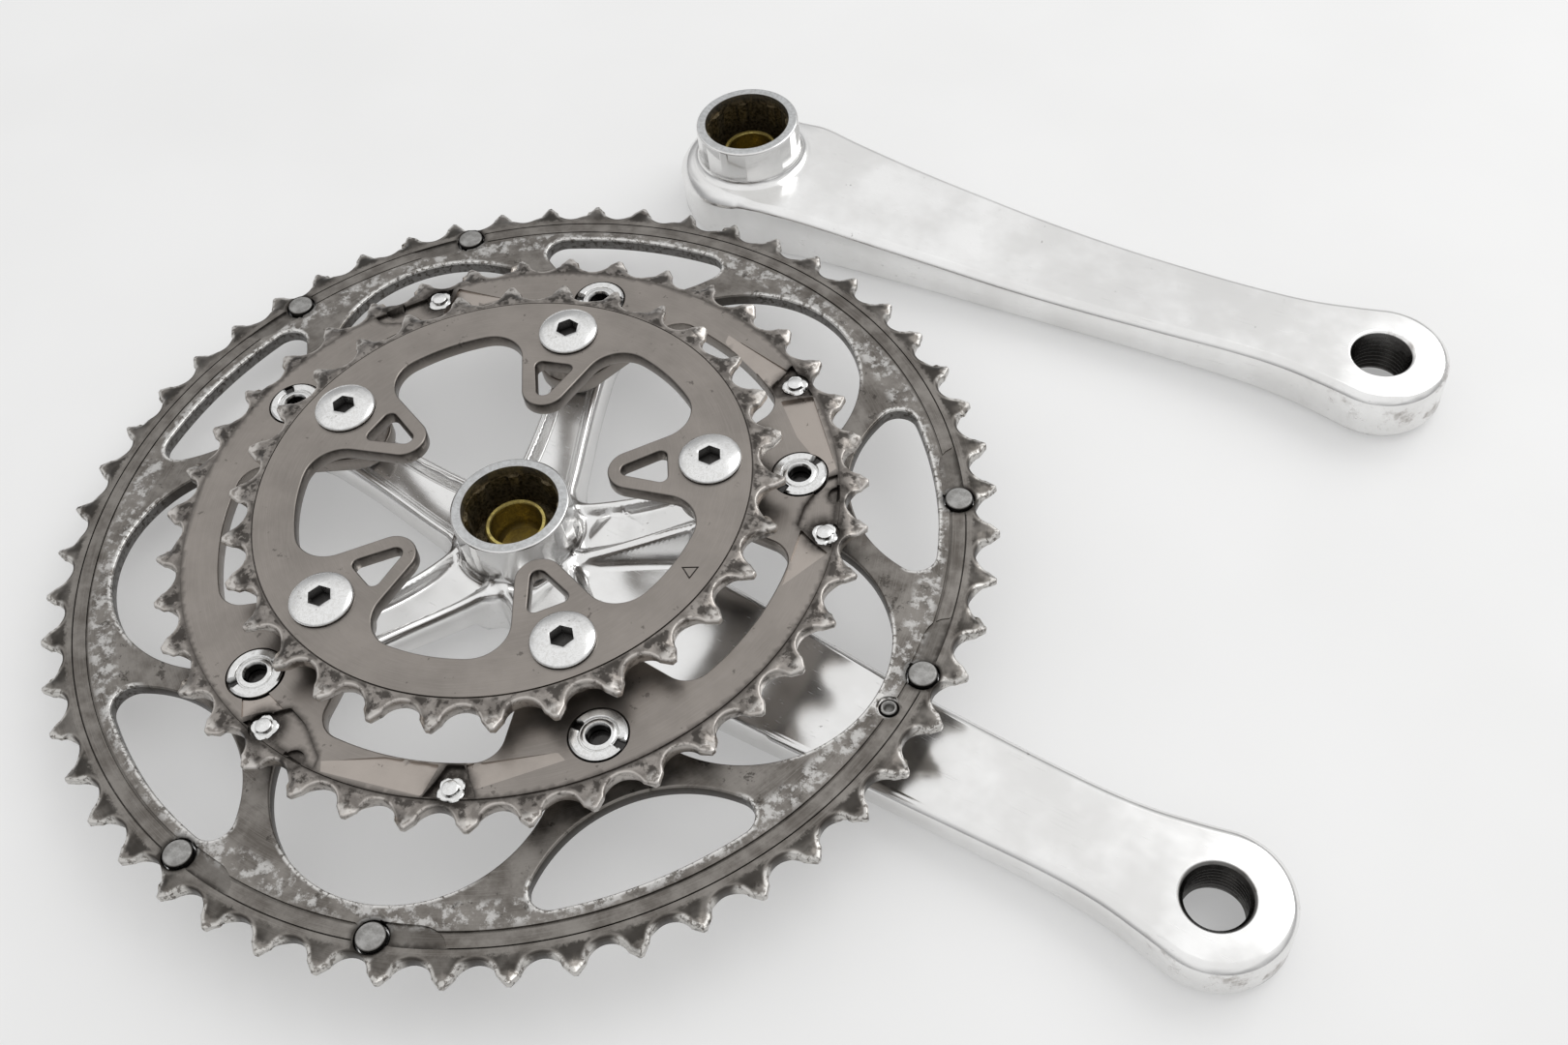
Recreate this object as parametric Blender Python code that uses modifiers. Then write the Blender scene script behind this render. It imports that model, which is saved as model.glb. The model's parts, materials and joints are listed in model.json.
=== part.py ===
"""Triple road-bicycle crankset: a drive-side crank with three chainrings, and a left crank arm.

Both cranks lie on their outer faces, as on a bench.  Each is modelled in its own crank frame:
origin on the hub axis at the outer face, +X towards the pedal hole, +Z towards the bicycle.
An empty carries each crank frame onto the bench, leaning by the slope of the outer face.
"""
import math

import bmesh
import bpy
from mathutils import Matrix, Vector

MM = 0.001
GAP = 0.3 * MM                      # clearance kept between touching pieces
PRODUCT = "bicycle_crankset"

# ---- driving dimensions ------------------------------------------------------------------
CHAIN_PITCH = 12.7 * MM
ROLLER_RADIUS = 3.93 * MM
CRANK_LENGTH = 170 * MM             # hub axis to pedal axis
BOLT_COUNT = 5
BOLT_STEP = math.radians(360 / BOLT_COUNT)
FIRST_BOLT = math.radians(36)       # the crank arm lies midway between two spider arms
OUTER_BOLT_RADIUS = 65 * MM         # outer and middle rings, 130 mm bolt circle
INNER_BOLT_RADIUS = 46 * MM         # inner ring, 92 mm bolt circle
SLOPE = 0.0456                      # fall of the outer face from hub to pedal, per unit length
LEAN = math.atan(SLOPE)

# ---- bench layout ------------------------------------------------------------------------
DRIVE_HUB = Vector((-38.5 * MM, -27.5 * MM, 0))
LEFT_HUB = DRIVE_HUB + Vector((-21.9 * MM, 131.9 * MM, 0))
LEFT_HEADING = math.radians(5.3)

# ---- levels above the drive hub's outer face ---------------------------------------------
DRIVE_RIM = 25.0 * MM
LEFT_RIM = 27.0 * MM
OUTER_RING = (12.6 * MM, 16.3 * MM)
MIDDLE_RING = (20.8 * MM, 24.7 * MM)
BOSS_TOP = 28.7 * MM
INNER_RING = (29.0 * MM, 32.7 * MM)
NUT_FACE = 25.25 * MM
NUT_SHELF = 22.9 * MM                # floor of the nut's slotted head
SLEEVE_END = 14.6 * MM
SCREW_CROWN = 34.65 * MM
BOLT_TIP = 22.6 * MM
SCREW_TIP = 21.6 * MM
CRANK_BOLT_END = 18.2 * MM
COUNTERBORE_DEPTH = 1.6 * MM

# ---- holes and fasteners -----------------------------------------------------------------
SLEEVE_HOLE = 5.3 * MM
HEAD_HOLE = 6.4 * MM
SCREW_HOLE = 4.3 * MM
OUTER_PIN_RADIUS = 3.1 * MM
OUTER_PIN_CIRCLE = 99.8 * MM
OUTER_TEETH = 53
MIDDLE_TEETH = 39
INNER_TEETH = 30
OUTER_FIRST_TOOTH = math.radians(1.0)
MIDDLE_FIRST_TOOTH = math.radians(6.1)
INNER_FIRST_TOOTH = math.radians(6.0)
OUTER_PIN_ANGLES = [OUTER_FIRST_TOOTH + math.radians(1.5) + (gap + 0.5) * 2 * math.pi / OUTER_TEETH
                    for gap in (0, 4, 19, 23, 38, 42)]
MIDDLE_PIN_RADIUS = 2.1 * MM
MIDDLE_PIN_CIRCLE = 71.2 * MM
MIDDLE_PIN_ANGLES = [math.radians(a) for a in (22.2, 58.4, 142.2, 262.2, 298.4)]
DROP_PIN_CIRCLE = 97.1 * MM
DROP_PIN_RADIUS = 1.7 * MM
BORE_RADIUS = 10.9 * MM
SPLINE_RADIUS = 10.1 * MM
SPLINE_COUNT = 8
HUB_RADIUS = 13.5 * MM
PEDAL_HOLE = 7.1 * MM
PEDAL_SEAT_RADIUS = 10.5 * MM       # spot face round the pedal hole, on the outer side
RECESS_RADIUS = 11.0 * MM
RECESS_DEPTH = 9.3 * MM
SHELF_TOP = 12.3 * MM
BOLT_HOLE = 7.8 * MM

# ---- colours: base colour, roughness, metallic -------------------------------------------
POLISHED = ("polished_aluminium", (0.78, 0.78, 0.77), 0.22, 1.0)
WORN = ("worn_anodised_aluminium", (0.27, 0.25, 0.23), 0.45, 1.0)
TAUPE = ("taupe_anodised_aluminium", (0.40, 0.35, 0.32), 0.38, 1.0)
STEEL = ("plated_steel", (0.72, 0.72, 0.73), 0.20, 1.0)
PIN_STEEL = ("pin_steel", (0.50, 0.49, 0.47), 0.40, 1.0)
GOLD = ("yellow_passivated_steel", (0.62, 0.52, 0.18), 0.30, 1.0)
BLACK = ("black_anodised_aluminium", (0.05, 0.05, 0.05), 0.40, 1.0)


# ---- scene helpers -----------------------------------------------------------------------
def new_collection(name):
    collection = bpy.data.collections.new(name)
    bpy.context.scene.collection.children.link(collection)
    return collection


def material(spec):
    name, colour, roughness, metallic = spec
    found = bpy.data.materials.get(name)
    if found:
        return found
    made = bpy.data.materials.new(name)
    made.use_nodes = True
    shader = made.node_tree.nodes["Principled BSDF"]
    shader.inputs["Base Color"].default_value = (*colour, 1)
    shader.inputs["Roughness"].default_value = roughness
    shader.inputs["Metallic"].default_value = metallic
    return made


def add_object(name, mesh, collection, finish=None, parent=None, location=(0, 0, 0)):
    made = bpy.data.objects.new(name, mesh)
    collection.objects.link(made)
    made.location = location
    made.parent = parent
    if finish:
        mesh.materials.clear()
        mesh.materials.append(material(finish))
        mesh.shade_smooth()
        mesh.set_sharp_from_angle(angle=math.radians(35))
    return made


def evaluated_mesh(source, name):
    """A plain mesh of an object, with its own caps welded."""
    graph = bpy.context.evaluated_depsgraph_get()
    mesh = bpy.data.meshes.new_from_object(source.evaluated_get(graph))
    mesh.name = name
    work = bmesh.new()
    work.from_mesh(mesh)
    bmesh.ops.remove_doubles(work, verts=work.verts, dist=0.00001)
    bmesh.ops.recalc_face_normals(work, faces=work.faces)
    work.to_mesh(mesh)
    work.free()
    return mesh


# ---- outline helpers: every outline is a list of (x, y) ----------------------------------
def polar(radius, angle):
    return Vector((radius * math.cos(angle), radius * math.sin(angle)))


def arc(centre, radius, start, end, steps):
    """Points on a circle, both ends included."""
    return [Vector(centre) + polar(radius, start + (end - start) * i / steps) for i in range(steps + 1)]


def circle(centre, radius, steps):
    return arc(centre, radius, 0, 2 * math.pi, steps)[:-1]


def turned(points, angle):
    spin = Matrix.Rotation(angle, 2)
    return [spin @ Vector(p) for p in points]


def around_circle(make, count, first, step):
    """One outline for each place round the circle."""
    return [turned(make, first + step * i) for i in range(count)]


def tooth_outline(teeth, tip_height, tip_width, first_tooth):
    """Sprocket outline: a roller seat between each two tooth tips."""
    pitch = 2 * math.pi / teeth
    pitch_radius = CHAIN_PITCH / 2 / math.sin(math.pi / teeth)
    seat_half = math.radians(58)
    points = []
    for tooth in range(teeth):
        angle = first_tooth + tooth * pitch
        tip = [Vector((pitch_radius + tip_height, side * tip_width / 2)) for side in (-1, 1)]
        points += turned(tip, angle)
        seat = arc((pitch_radius, 0), ROLLER_RADIUS, math.pi + seat_half, math.pi - seat_half, 2)
        points += turned(seat, angle + pitch / 2)
    return points


def lobed_outline(rim_radius, tab_radius, end_radius, side_angle, fillet):
    """Inside edge of a ring with five tabs: tab end, straight side, fillet, then the rim."""
    normal = Vector((-math.sin(side_angle), math.cos(side_angle)))
    along = Vector((math.cos(side_angle), math.sin(side_angle)))
    start = Vector((tab_radius, 0)) + (end_radius + fillet) * normal
    half_b = start.dot(along)
    reach = math.sqrt(half_b ** 2 - start.length_squared + (rim_radius - fillet) ** 2) - half_b
    centre = start + reach * along
    bearing = math.atan2(centre.y, centre.x)
    side = arc((tab_radius, 0), end_radius, math.pi, math.pi / 2 + side_angle, 4)
    side += arc(centre, fillet, side_angle - math.pi / 2, bearing, 4)
    side += arc((0, 0), rim_radius, bearing, BOLT_STEP / 2, 3)[1:-1]
    half = [Vector((p.x, -p.y)) for p in reversed(side)][:-1]
    points = []
    for tab in range(BOLT_COUNT):
        middle = [polar(rim_radius, BOLT_STEP / 2)]
        points += turned(half + side + middle, FIRST_BOLT + tab * BOLT_STEP)
    return points


def leg_outline(arch_centre, arch_radius, end_radius):
    """Inside edge of the outer ring: round arches that meet round bolt tabs."""
    arch = polar(arch_centre, 0)
    tab = polar(OUTER_BOLT_RADIUS, BOLT_STEP / 2)
    towards_tab = math.atan2(tab.y - arch.y, tab.x - arch.x)
    points = []
    for sector in range(BOLT_COUNT):
        bend = arc(arch, arch_radius, -towards_tab, towards_tab, 12)
        half_turn = towards_tab + math.pi
        mirror_turn = BOLT_STEP - towards_tab + math.pi
        bend += arc(tab, end_radius, half_turn, mirror_turn, 5)[1:-1]
        points += turned(bend, sector * BOLT_STEP)
    return points


def window_outline(rim_radius, round_centre, round_radius, fillet):
    """Window above a bolt tab: an arc of the rim, a round bottom and two filleted corners."""
    rim = rim_radius - fillet
    bottom = round_radius - fillet
    x = (rim ** 2 - bottom ** 2 + round_centre ** 2) / (2 * round_centre)
    corner = Vector((x, math.sqrt(rim ** 2 - x ** 2)))
    bearing = math.atan2(corner.y, corner.x)
    rise = math.atan2(corner.y, corner.x - round_centre)
    half = arc((0, 0), rim_radius, 0, bearing, 2)[:-1]
    half += arc(corner, fillet, bearing, rise, 3)[:-1]
    half += arc((round_centre, 0), round_radius, rise, math.pi, 5)
    return half + [Vector((p.x, -p.y)) for p in reversed(half[1:-1])]


def hull_of_circles(circles, steps):
    """Outline of a band stretched round several circles."""
    cloud = [p for centre, radius in circles for p in circle(centre, radius, steps)]
    cloud = sorted((round(p.x, 8), round(p.y, 8)) for p in cloud)

    def chain(points):
        kept = []
        for p in points:
            while len(kept) > 1 and (Vector(kept[-1]) - Vector(kept[-2])).cross(
                    Vector(p) - Vector(kept[-2])) <= 1e-12:
                kept.pop()
            kept.append(p)
        return kept[:-1]

    return [Vector(p) for p in chain(cloud) + chain(cloud[::-1])]


# ---- solid helpers -----------------------------------------------------------------------
def plate_mesh(name, outlines, low, high):
    """A flat plate between two levels.  Outlines inside the first one are holes."""
    data = bpy.data.curves.new(name, "CURVE")
    data.dimensions = "2D"
    data.fill_mode = "BOTH"
    data.extrude = (high - low) / 2
    for outline in outlines:
        spline = data.splines.new("POLY")
        spline.points.add(len(outline) - 1)
        for point, place in zip(spline.points, outline):
            point.co = (place[0], place[1], 0, 1)
        spline.use_cyclic_u = True
    flat = bpy.data.objects.new(name, data)
    bpy.context.scene.collection.objects.link(flat)
    bpy.context.view_layer.update()
    mesh = evaluated_mesh(flat, name)
    mesh.transform(Matrix.Translation((0, 0, (low + high) / 2)))
    bpy.data.objects.remove(flat)
    bpy.data.curves.remove(data)
    return mesh


def turned_mesh(name, profile, steps):
    """A turned solid: the profile is (radius, z) from its top axis point to its bottom one."""
    mesh = bpy.data.meshes.new(name)
    mesh.from_pydata([(r, 0, z) for r, z in profile], [(i, i + 1) for i in range(len(profile) - 1)], [])
    lathe = bpy.data.objects.new(name, mesh)
    bpy.context.scene.collection.objects.link(lathe)
    screw = lathe.modifiers.new("Turn", "SCREW")
    screw.steps = steps
    screw.render_steps = steps
    screw.use_merge_vertices = True
    screw.merge_threshold = 0.00001
    bpy.context.view_layer.update()
    solid = evaluated_mesh(lathe, name)
    bpy.data.objects.remove(lathe)
    return solid


def joined_mesh(name, meshes_and_places):
    """Several separate closed solids in one mesh, used only as cutters or as bosses."""
    work = bmesh.new()
    for mesh, place in meshes_and_places:
        copy = mesh.copy()
        copy.transform(place)
        work.from_mesh(copy)
        bpy.data.meshes.remove(copy)
    joined = bpy.data.meshes.new(name)
    work.to_mesh(joined)
    work.free()
    return joined


def bolt_places(radius):
    """Transforms that stand something at each bolt of a bolt circle."""
    return [Matrix.Rotation(FIRST_BOLT + i * BOLT_STEP, 4, "Z") @ Matrix.Translation((radius, 0, 0))
            for i in range(BOLT_COUNT)]


def at_bolts(name, mesh, radius):
    return joined_mesh(name, [(mesh, place) for place in bolt_places(radius)])


def cylinder_mesh(name, radius, low, high, steps):
    return turned_mesh(name, [(0, high), (radius, high), (radius, low), (0, low)], steps)


def boolean(target, tool_mesh, operation, tools, parent=None, solver="EXACT"):
    """Adds a Boolean modifier whose operand is a hidden object."""
    tool = add_object("tool_" + tool_mesh.name, tool_mesh, tools, parent=parent)
    tool.hide_render = True
    tool.display_type = "WIRE"
    cut = target.modifiers.new(tool_mesh.name, "BOOLEAN")
    cut.operation = operation
    cut.solver = solver
    cut.object = tool


# ---- crank arms --------------------------------------------------------------------------
# Stations along the arm: distance from the hub axis, half width, and depth of the inner
# face below the hub rim.
ARM_STATIONS = [
    (14, 18.2, 11.2), (24, 17.0, 12.5), (42, 15.6, 15.0), (61, 14.5, 17.2), (80, 13.6, 19.2),
    (100, 12.7, 20.4), (120, 12.0, 20.8), (138, 11.7, 20.8), (150, 12.3, 20.8), (160, 14.0, 20.8),
]
HUB_END_RADIUS = 19.4 * MM
EYE_RADIUS = 15.9 * MM
EYE_DEPTH = 20.8 * MM
HUB_DEPTH = 10.8 * MM
UNDER_ROUNDING = 3.4 * MM
TOP_BEVEL = 1.1 * MM


def arm_half_outline():
    """Half of the arm's plan, from the hub end to the pedal end, as (x, y, inner face depth)."""
    half = [(*p, HUB_DEPTH) for p in arc((0, 0), HUB_END_RADIUS, math.pi, math.radians(72), 7)]
    half += [(x * MM, y * MM, depth * MM) for x, y, depth in ARM_STATIONS]
    end = arc((CRANK_LENGTH, 0), EYE_RADIUS, math.radians(106), 0, 7)
    return half + [(*p, EYE_DEPTH) for p in end]


def arm_mesh(name, rim_level):
    """The arm's body: four stacked outlines, closed by strips across the top and bottom."""
    half = arm_half_outline()
    loop = half + [(x, -y, depth) for x, y, depth in reversed(half[1:-1])]
    count = len(loop)
    layers = [(UNDER_ROUNDING, 0.0, 0), (0.0, 0.8, 0), (0.0, -TOP_BEVEL, 1), (TOP_BEVEL, 0.0, 1)]
    work = bmesh.new()
    rings = []
    for inset, rise, at_top in layers:
        ring = []
        for i, (x, y, depth) in enumerate(loop):
            ahead = Vector(loop[(i + 1) % count][:2])
            behind = Vector(loop[i - 1][:2])
            tangent = (ahead - behind).normalized()
            place = Vector((x, y)) - inset * Vector((-tangent.y, tangent.x))
            z = rim_level - depth + rise if at_top else rise * UNDER_ROUNDING - SLOPE * place.x
            ring.append(work.verts.new((place.x, place.y, z)))
        rings.append(ring)
    for lower, upper in zip(rings, rings[1:]):
        for i in range(count):
            j = (i + 1) % count
            work.faces.new((lower[i], lower[j], upper[j], upper[i]))
    last = len(half) - 1
    for ring in (rings[0], rings[-1]):
        for i in range(last):
            left = (-i) % count
            left_next = -(i + 1) % count
            face = [ring[i], ring[i + 1], ring[left_next], ring[left]]
            work.faces.new(list(dict.fromkeys(face)))
    bmesh.ops.recalc_face_normals(work, faces=work.faces)
    mesh = bpy.data.meshes.new(name)
    work.to_mesh(mesh)
    work.free()
    return mesh


def hub_boss_mesh(name, rim_level):
    """The round boss that stands up from the arm round the splined bore."""
    foot = rim_level - HUB_DEPTH
    profile = [(0, rim_level), (HUB_RADIUS - 0.5 * MM, rim_level), (HUB_RADIUS, rim_level - 0.5 * MM),
               (HUB_RADIUS, foot + 3.2 * MM), (HUB_RADIUS + 3.4 * MM, foot - 0.2 * MM),
               (HUB_RADIUS + 3.4 * MM, foot - 4 * MM), (0, foot - 4 * MM)]
    return turned_mesh(name, profile, 28)


def spline_mesh(name, rim_level):
    """Cutter for the eight-spline bore: wide grooves between narrow lands."""
    points = []
    groove = math.radians(360 / SPLINE_COUNT)
    for i in range(SPLINE_COUNT):
        points += arc((0, 0), BORE_RADIUS, i * groove, (i + 0.62) * groove, 2)
        points += arc((0, 0), SPLINE_RADIUS, (i + 0.68) * groove, (i + 0.94) * groove, 1)
    return plate_mesh(name, [points], SHELF_TOP, rim_level - 2.5 * MM)


def cut_hub_and_eye(arm, prefix, rim_level, tools, parent):
    """Bore, bolt hole, cap recess and threaded pedal hole of one arm."""
    far = 10 * MM
    bolt_hole = turned_mesh(prefix + "_bolt_hole", [
        (0, SHELF_TOP + far / 4), (BOLT_HOLE, SHELF_TOP + far / 4), (BOLT_HOLE, RECESS_DEPTH),
        (RECESS_RADIUS, RECESS_DEPTH), (RECESS_RADIUS, -far), (0, -far)], 20)
    mouth = turned_mesh(prefix + "_mouth", [
        (0, rim_level + far), (BORE_RADIUS + 0.05 * MM, rim_level + far),
        (BORE_RADIUS + 0.05 * MM, rim_level - 2.9 * MM), (0, rim_level - 2.9 * MM)], 24)
    seat_level = -SLOPE * (CRANK_LENGTH - PEDAL_SEAT_RADIUS) + GAP
    pedal_hole = turned_mesh(prefix + "_pedal_hole", [
        (0, rim_level), (PEDAL_HOLE, rim_level), (PEDAL_HOLE, seat_level),
        (PEDAL_SEAT_RADIUS, seat_level), (PEDAL_SEAT_RADIUS, -CRANK_LENGTH / 2),
        (0, -CRANK_LENGTH / 2)], 20)
    pedal_hole.transform(Matrix.Translation((CRANK_LENGTH, 0, 0)))
    for cutter in (spline_mesh(prefix + "_splines", rim_level), bolt_hole, mouth, pedal_hole):
        boolean(arm, cutter, "DIFFERENCE", tools, parent)


# Spider arm sections: distance from the hub axis, half width, underside and top level, and
# the depth of the channel between the two ridges on the top.
SPIDER_SECTIONS = [
    (9.5, 9.6, 3.2, 13.2, 0.6), (20, 8.6, 4.8, 13.8, 2.4), (36, 7.4, 8.8, 17.1, 2.0),
    (52, 7.2, 12.6, 20.5, 0.6), (54.7, 7.6, 12.9, 20.5, 0.2), (55.0, 7.7, 16.6, 20.5, 0.2),
    (63, 8.6, 16.6, 20.5, 0.2), (69, 7.4, 16.6, 20.5, 0.2), (72.8, 3.8, 16.6, 20.5, 0.2),
]
RIDGE = 2.4 * MM


def spider_arm_mesh(name):
    """One spider arm along +X: a dished bar with two ridges, ending in a flat bolt tab."""
    work = bmesh.new()
    rings = []
    for values in SPIDER_SECTIONS:
        x, half, low, high, channel = (v * MM for v in values)
        edge = min(1.2 * MM, half / 4)
        inner = max(half - edge - RIDGE, half / 3)
        floor = inner - min(1.0 * MM, inner / 3)
        right = [(half, low), (half, high - edge), (half - edge, high), (inner, high),
                 (floor, high - channel)]
        section = right + [(-y, z) for y, z in reversed(right)]
        rings.append([work.verts.new((x, y, z)) for y, z in section])
    for inner_ring, outer_ring in zip(rings, rings[1:]):
        for i in range(len(inner_ring)):
            j = (i + 1) % len(inner_ring)
            work.faces.new((inner_ring[i], inner_ring[j], outer_ring[j], outer_ring[i]))
    work.faces.new(rings[0])
    work.faces.new(rings[-1])
    bmesh.ops.recalc_face_normals(work, faces=work.faces)
    mesh = bpy.data.meshes.new(name)
    work.to_mesh(mesh)
    work.free()
    return mesh


def make_arm(name, prefix, rim_level, parts, tools, parent):
    arm = add_object(name, arm_mesh(name, rim_level), parts, POLISHED, parent)
    boolean(arm, hub_boss_mesh(prefix + "_boss", rim_level), "UNION", tools, parent)
    return arm


def make_drive_arm(parts, tools, parent):
    """The drive-side forging: crank arm, hub and five-arm spider in one piece."""
    arm = make_arm("right_crank_arm", "drive", DRIVE_RIM, parts, tools, parent)
    for i in range(BOLT_COUNT):
        spider = spider_arm_mesh(f"spider_{i + 1}")
        spider.transform(Matrix.Rotation(FIRST_BOLT + i * BOLT_STEP, 4, "Z"))
        boolean(arm, spider, "UNION", tools, parent)
    cut_hub_and_eye(arm, "drive", DRIVE_RIM, tools, parent)
    hole = cylinder_mesh("sleeve_hole", SLEEVE_HOLE, OUTER_RING[0], MIDDLE_RING[1], 20)
    boolean(arm, at_bolts("spider_holes", hole, OUTER_BOLT_RADIUS), "DIFFERENCE", tools, parent)


def make_left_arm(parts, tools, parent):
    arm = make_arm("left_crank_arm", "left", LEFT_RIM, parts, tools, parent)
    cut_hub_and_eye(arm, "left", LEFT_RIM, tools, parent)


# ---- chainrings --------------------------------------------------------------------------
def holes_at(radius, circle_radius, angles, steps):
    return [circle(polar(circle_radius, angle), radius, steps) for angle in angles]


BOLT_ANGLES = [FIRST_BOLT + i * BOLT_STEP for i in range(BOLT_COUNT)]


def make_outer_ring(parts, tools, parent):
    window = window_outline(95 * MM, 105.6 * MM, 30 * MM, 4.5 * MM)
    outlines = [tooth_outline(OUTER_TEETH, 1.3 * MM, 1.5 * MM, OUTER_FIRST_TOOTH),
                leg_outline(63.3 * MM, 30 * MM, 9.7 * MM)]
    outlines += around_circle(window, BOLT_COUNT, FIRST_BOLT, BOLT_STEP)
    outlines += holes_at(SLEEVE_HOLE, OUTER_BOLT_RADIUS, BOLT_ANGLES, 12)
    outlines += holes_at(OUTER_PIN_RADIUS + GAP, OUTER_PIN_CIRCLE, OUTER_PIN_ANGLES, 10)
    outlines += holes_at(DROP_PIN_RADIUS + GAP, DROP_PIN_CIRCLE, [0], 8)
    ring = add_object("outer_chainring", plate_mesh("outer_chainring", outlines, *OUTER_RING),
                      parts, WORN, parent)
    seat = cylinder_mesh("seat", HEAD_HOLE, OUTER_RING[0] - COUNTERBORE_DEPTH,
                         OUTER_RING[0] + COUNTERBORE_DEPTH, 14)
    boolean(ring, at_bolts("bolt_seats", seat, OUTER_BOLT_RADIUS), "DIFFERENCE", tools, parent)


def make_middle_ring(parts, tools, parent):
    outlines = [tooth_outline(MIDDLE_TEETH, 1.2 * MM, 1.6 * MM, MIDDLE_FIRST_TOOTH),
                lobed_outline(65.3 * MM, INNER_BOLT_RADIUS, 8.5 * MM, math.radians(33), 6 * MM)]
    outlines += holes_at(SLEEVE_HOLE, OUTER_BOLT_RADIUS, BOLT_ANGLES, 12)
    outlines += holes_at(MIDDLE_PIN_RADIUS + GAP, MIDDLE_PIN_CIRCLE, MIDDLE_PIN_ANGLES, 8)
    ring = add_object("middle_chainring", plate_mesh("middle_chainring", outlines, *MIDDLE_RING),
                      parts, TAUPE, parent)
    boss = turned_mesh("boss", [
        (0, BOSS_TOP), (7.2 * MM, BOSS_TOP), (8.0 * MM, MIDDLE_RING[0] + 1.5 * MM),
        (0, MIDDLE_RING[0] + 1.5 * MM)], 14)
    boolean(ring, at_bolts("bosses", boss, INNER_BOLT_RADIUS), "UNION", tools, parent)
    thread = cylinder_mesh("thread", SCREW_HOLE, MIDDLE_RING[0] - MM, BOSS_TOP + MM, 12)
    boolean(ring, at_bolts("threads", thread, INNER_BOLT_RADIUS), "DIFFERENCE", tools, parent)
    seat = cylinder_mesh("nut_seat", HEAD_HOLE, MIDDLE_RING[1] - COUNTERBORE_DEPTH,
                         MIDDLE_RING[1] + COUNTERBORE_DEPTH, 14)
    boolean(ring, at_bolts("nut_seats", seat, OUTER_BOLT_RADIUS), "DIFFERENCE", tools, parent,
            solver="MANIFOLD")


def make_inner_ring(parts, parent):
    slot = hull_of_circles([((28.0 * MM, 0), 1.7 * MM), ((35.0 * MM, 2.9 * MM), 1.5 * MM),
                            ((35.0 * MM, -2.9 * MM), 1.5 * MM)], 10)
    outlines = [tooth_outline(INNER_TEETH, 1.6 * MM, 1.7 * MM, INNER_FIRST_TOOTH),
                lobed_outline(45.8 * MM, 28.6 * MM, 5.3 * MM, math.radians(19.5), 8 * MM)]
    outlines += around_circle(slot, BOLT_COUNT, FIRST_BOLT, BOLT_STEP)
    outlines += holes_at(SCREW_HOLE, INNER_BOLT_RADIUS, BOLT_ANGLES, 12)
    add_object("inner_chainring", plate_mesh("inner_chainring", outlines, *INNER_RING),
               parts, TAUPE, parent)


# ---- fasteners ---------------------------------------------------------------------------
def hex_mesh(name, across_flats, low, high):
    corner = across_flats / math.sqrt(3)
    return plate_mesh(name, [circle((0, 0), corner, 6)], low, high)


def make_fasteners(parts, tools, parent):
    """Five sets round the spider: a bolt, its sleeve nut and an inner-ring screw."""
    head = OUTER_RING[0] + COUNTERBORE_DEPTH - GAP
    bolt = turned_mesh("chainring_bolt", [
        (0, BOLT_TIP), (3.9 * MM, BOLT_TIP), (3.9 * MM, head), (6.0 * MM, head),
        (6.0 * MM, head - 1.2 * MM), (5.2 * MM, head - 1.7 * MM), (0, head - 1.7 * MM)], 12)
    bolt_key = hex_mesh("bolt_key", 5 * MM, head - 3 * MM, head + 1.2 * MM)

    nut_floor = MIDDLE_RING[1] - COUNTERBORE_DEPTH + GAP
    nut = turned_mesh("chainring_nut", [
        (3.0 * MM, NUT_SHELF), (3.0 * MM, NUT_FACE), (6.0 * MM, NUT_FACE), (6.0 * MM, nut_floor),
        (4.95 * MM, nut_floor), (4.95 * MM, SLEEVE_END), (4.2 * MM, SLEEVE_END),
        (4.2 * MM, NUT_SHELF), (3.0 * MM, NUT_SHELF)], 12)
    slot = plate_mesh("nut_slot", [[(-8 * MM, -MM), (8 * MM, -MM), (8 * MM, MM), (-8 * MM, MM)]],
                      NUT_FACE - 0.9 * MM, NUT_FACE + MM)

    seat = INNER_RING[1] + GAP
    screw = turned_mesh("inner_ring_screw", [
        (0, SCREW_CROWN), (3.2 * MM, SCREW_CROWN), (5.6 * MM, SCREW_CROWN - 0.45 * MM),
        (7.0 * MM, seat + 0.6 * MM), (7.0 * MM, seat), (3.9 * MM, seat), (3.9 * MM, SCREW_TIP),
        (0, SCREW_TIP)], 14)
    screw_key = hex_mesh("screw_key", 5 * MM, SCREW_CROWN - 2.8 * MM, SCREW_CROWN + MM)

    for i in range(BOLT_COUNT):
        for stem, mesh, cutter, radius, finish in (
                ("chainring_bolt", bolt, bolt_key, OUTER_BOLT_RADIUS, STEEL),
                ("chainring_nut", nut, slot, OUTER_BOLT_RADIUS, STEEL),
                ("inner_ring_screw", screw, screw_key, INNER_BOLT_RADIUS, STEEL)):
            place = polar(radius, BOLT_ANGLES[i])
            piece = add_object(f"{stem}_{i + 1}", mesh.copy(), parts, finish, parent, (*place, 0))
            piece.rotation_euler.z = BOLT_ANGLES[i] + math.radians(70)
            key = cutter.copy()
            key.name = f"{stem}_key_{i + 1}"
            boolean(piece, key, "DIFFERENCE", tools, parent=piece)


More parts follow.
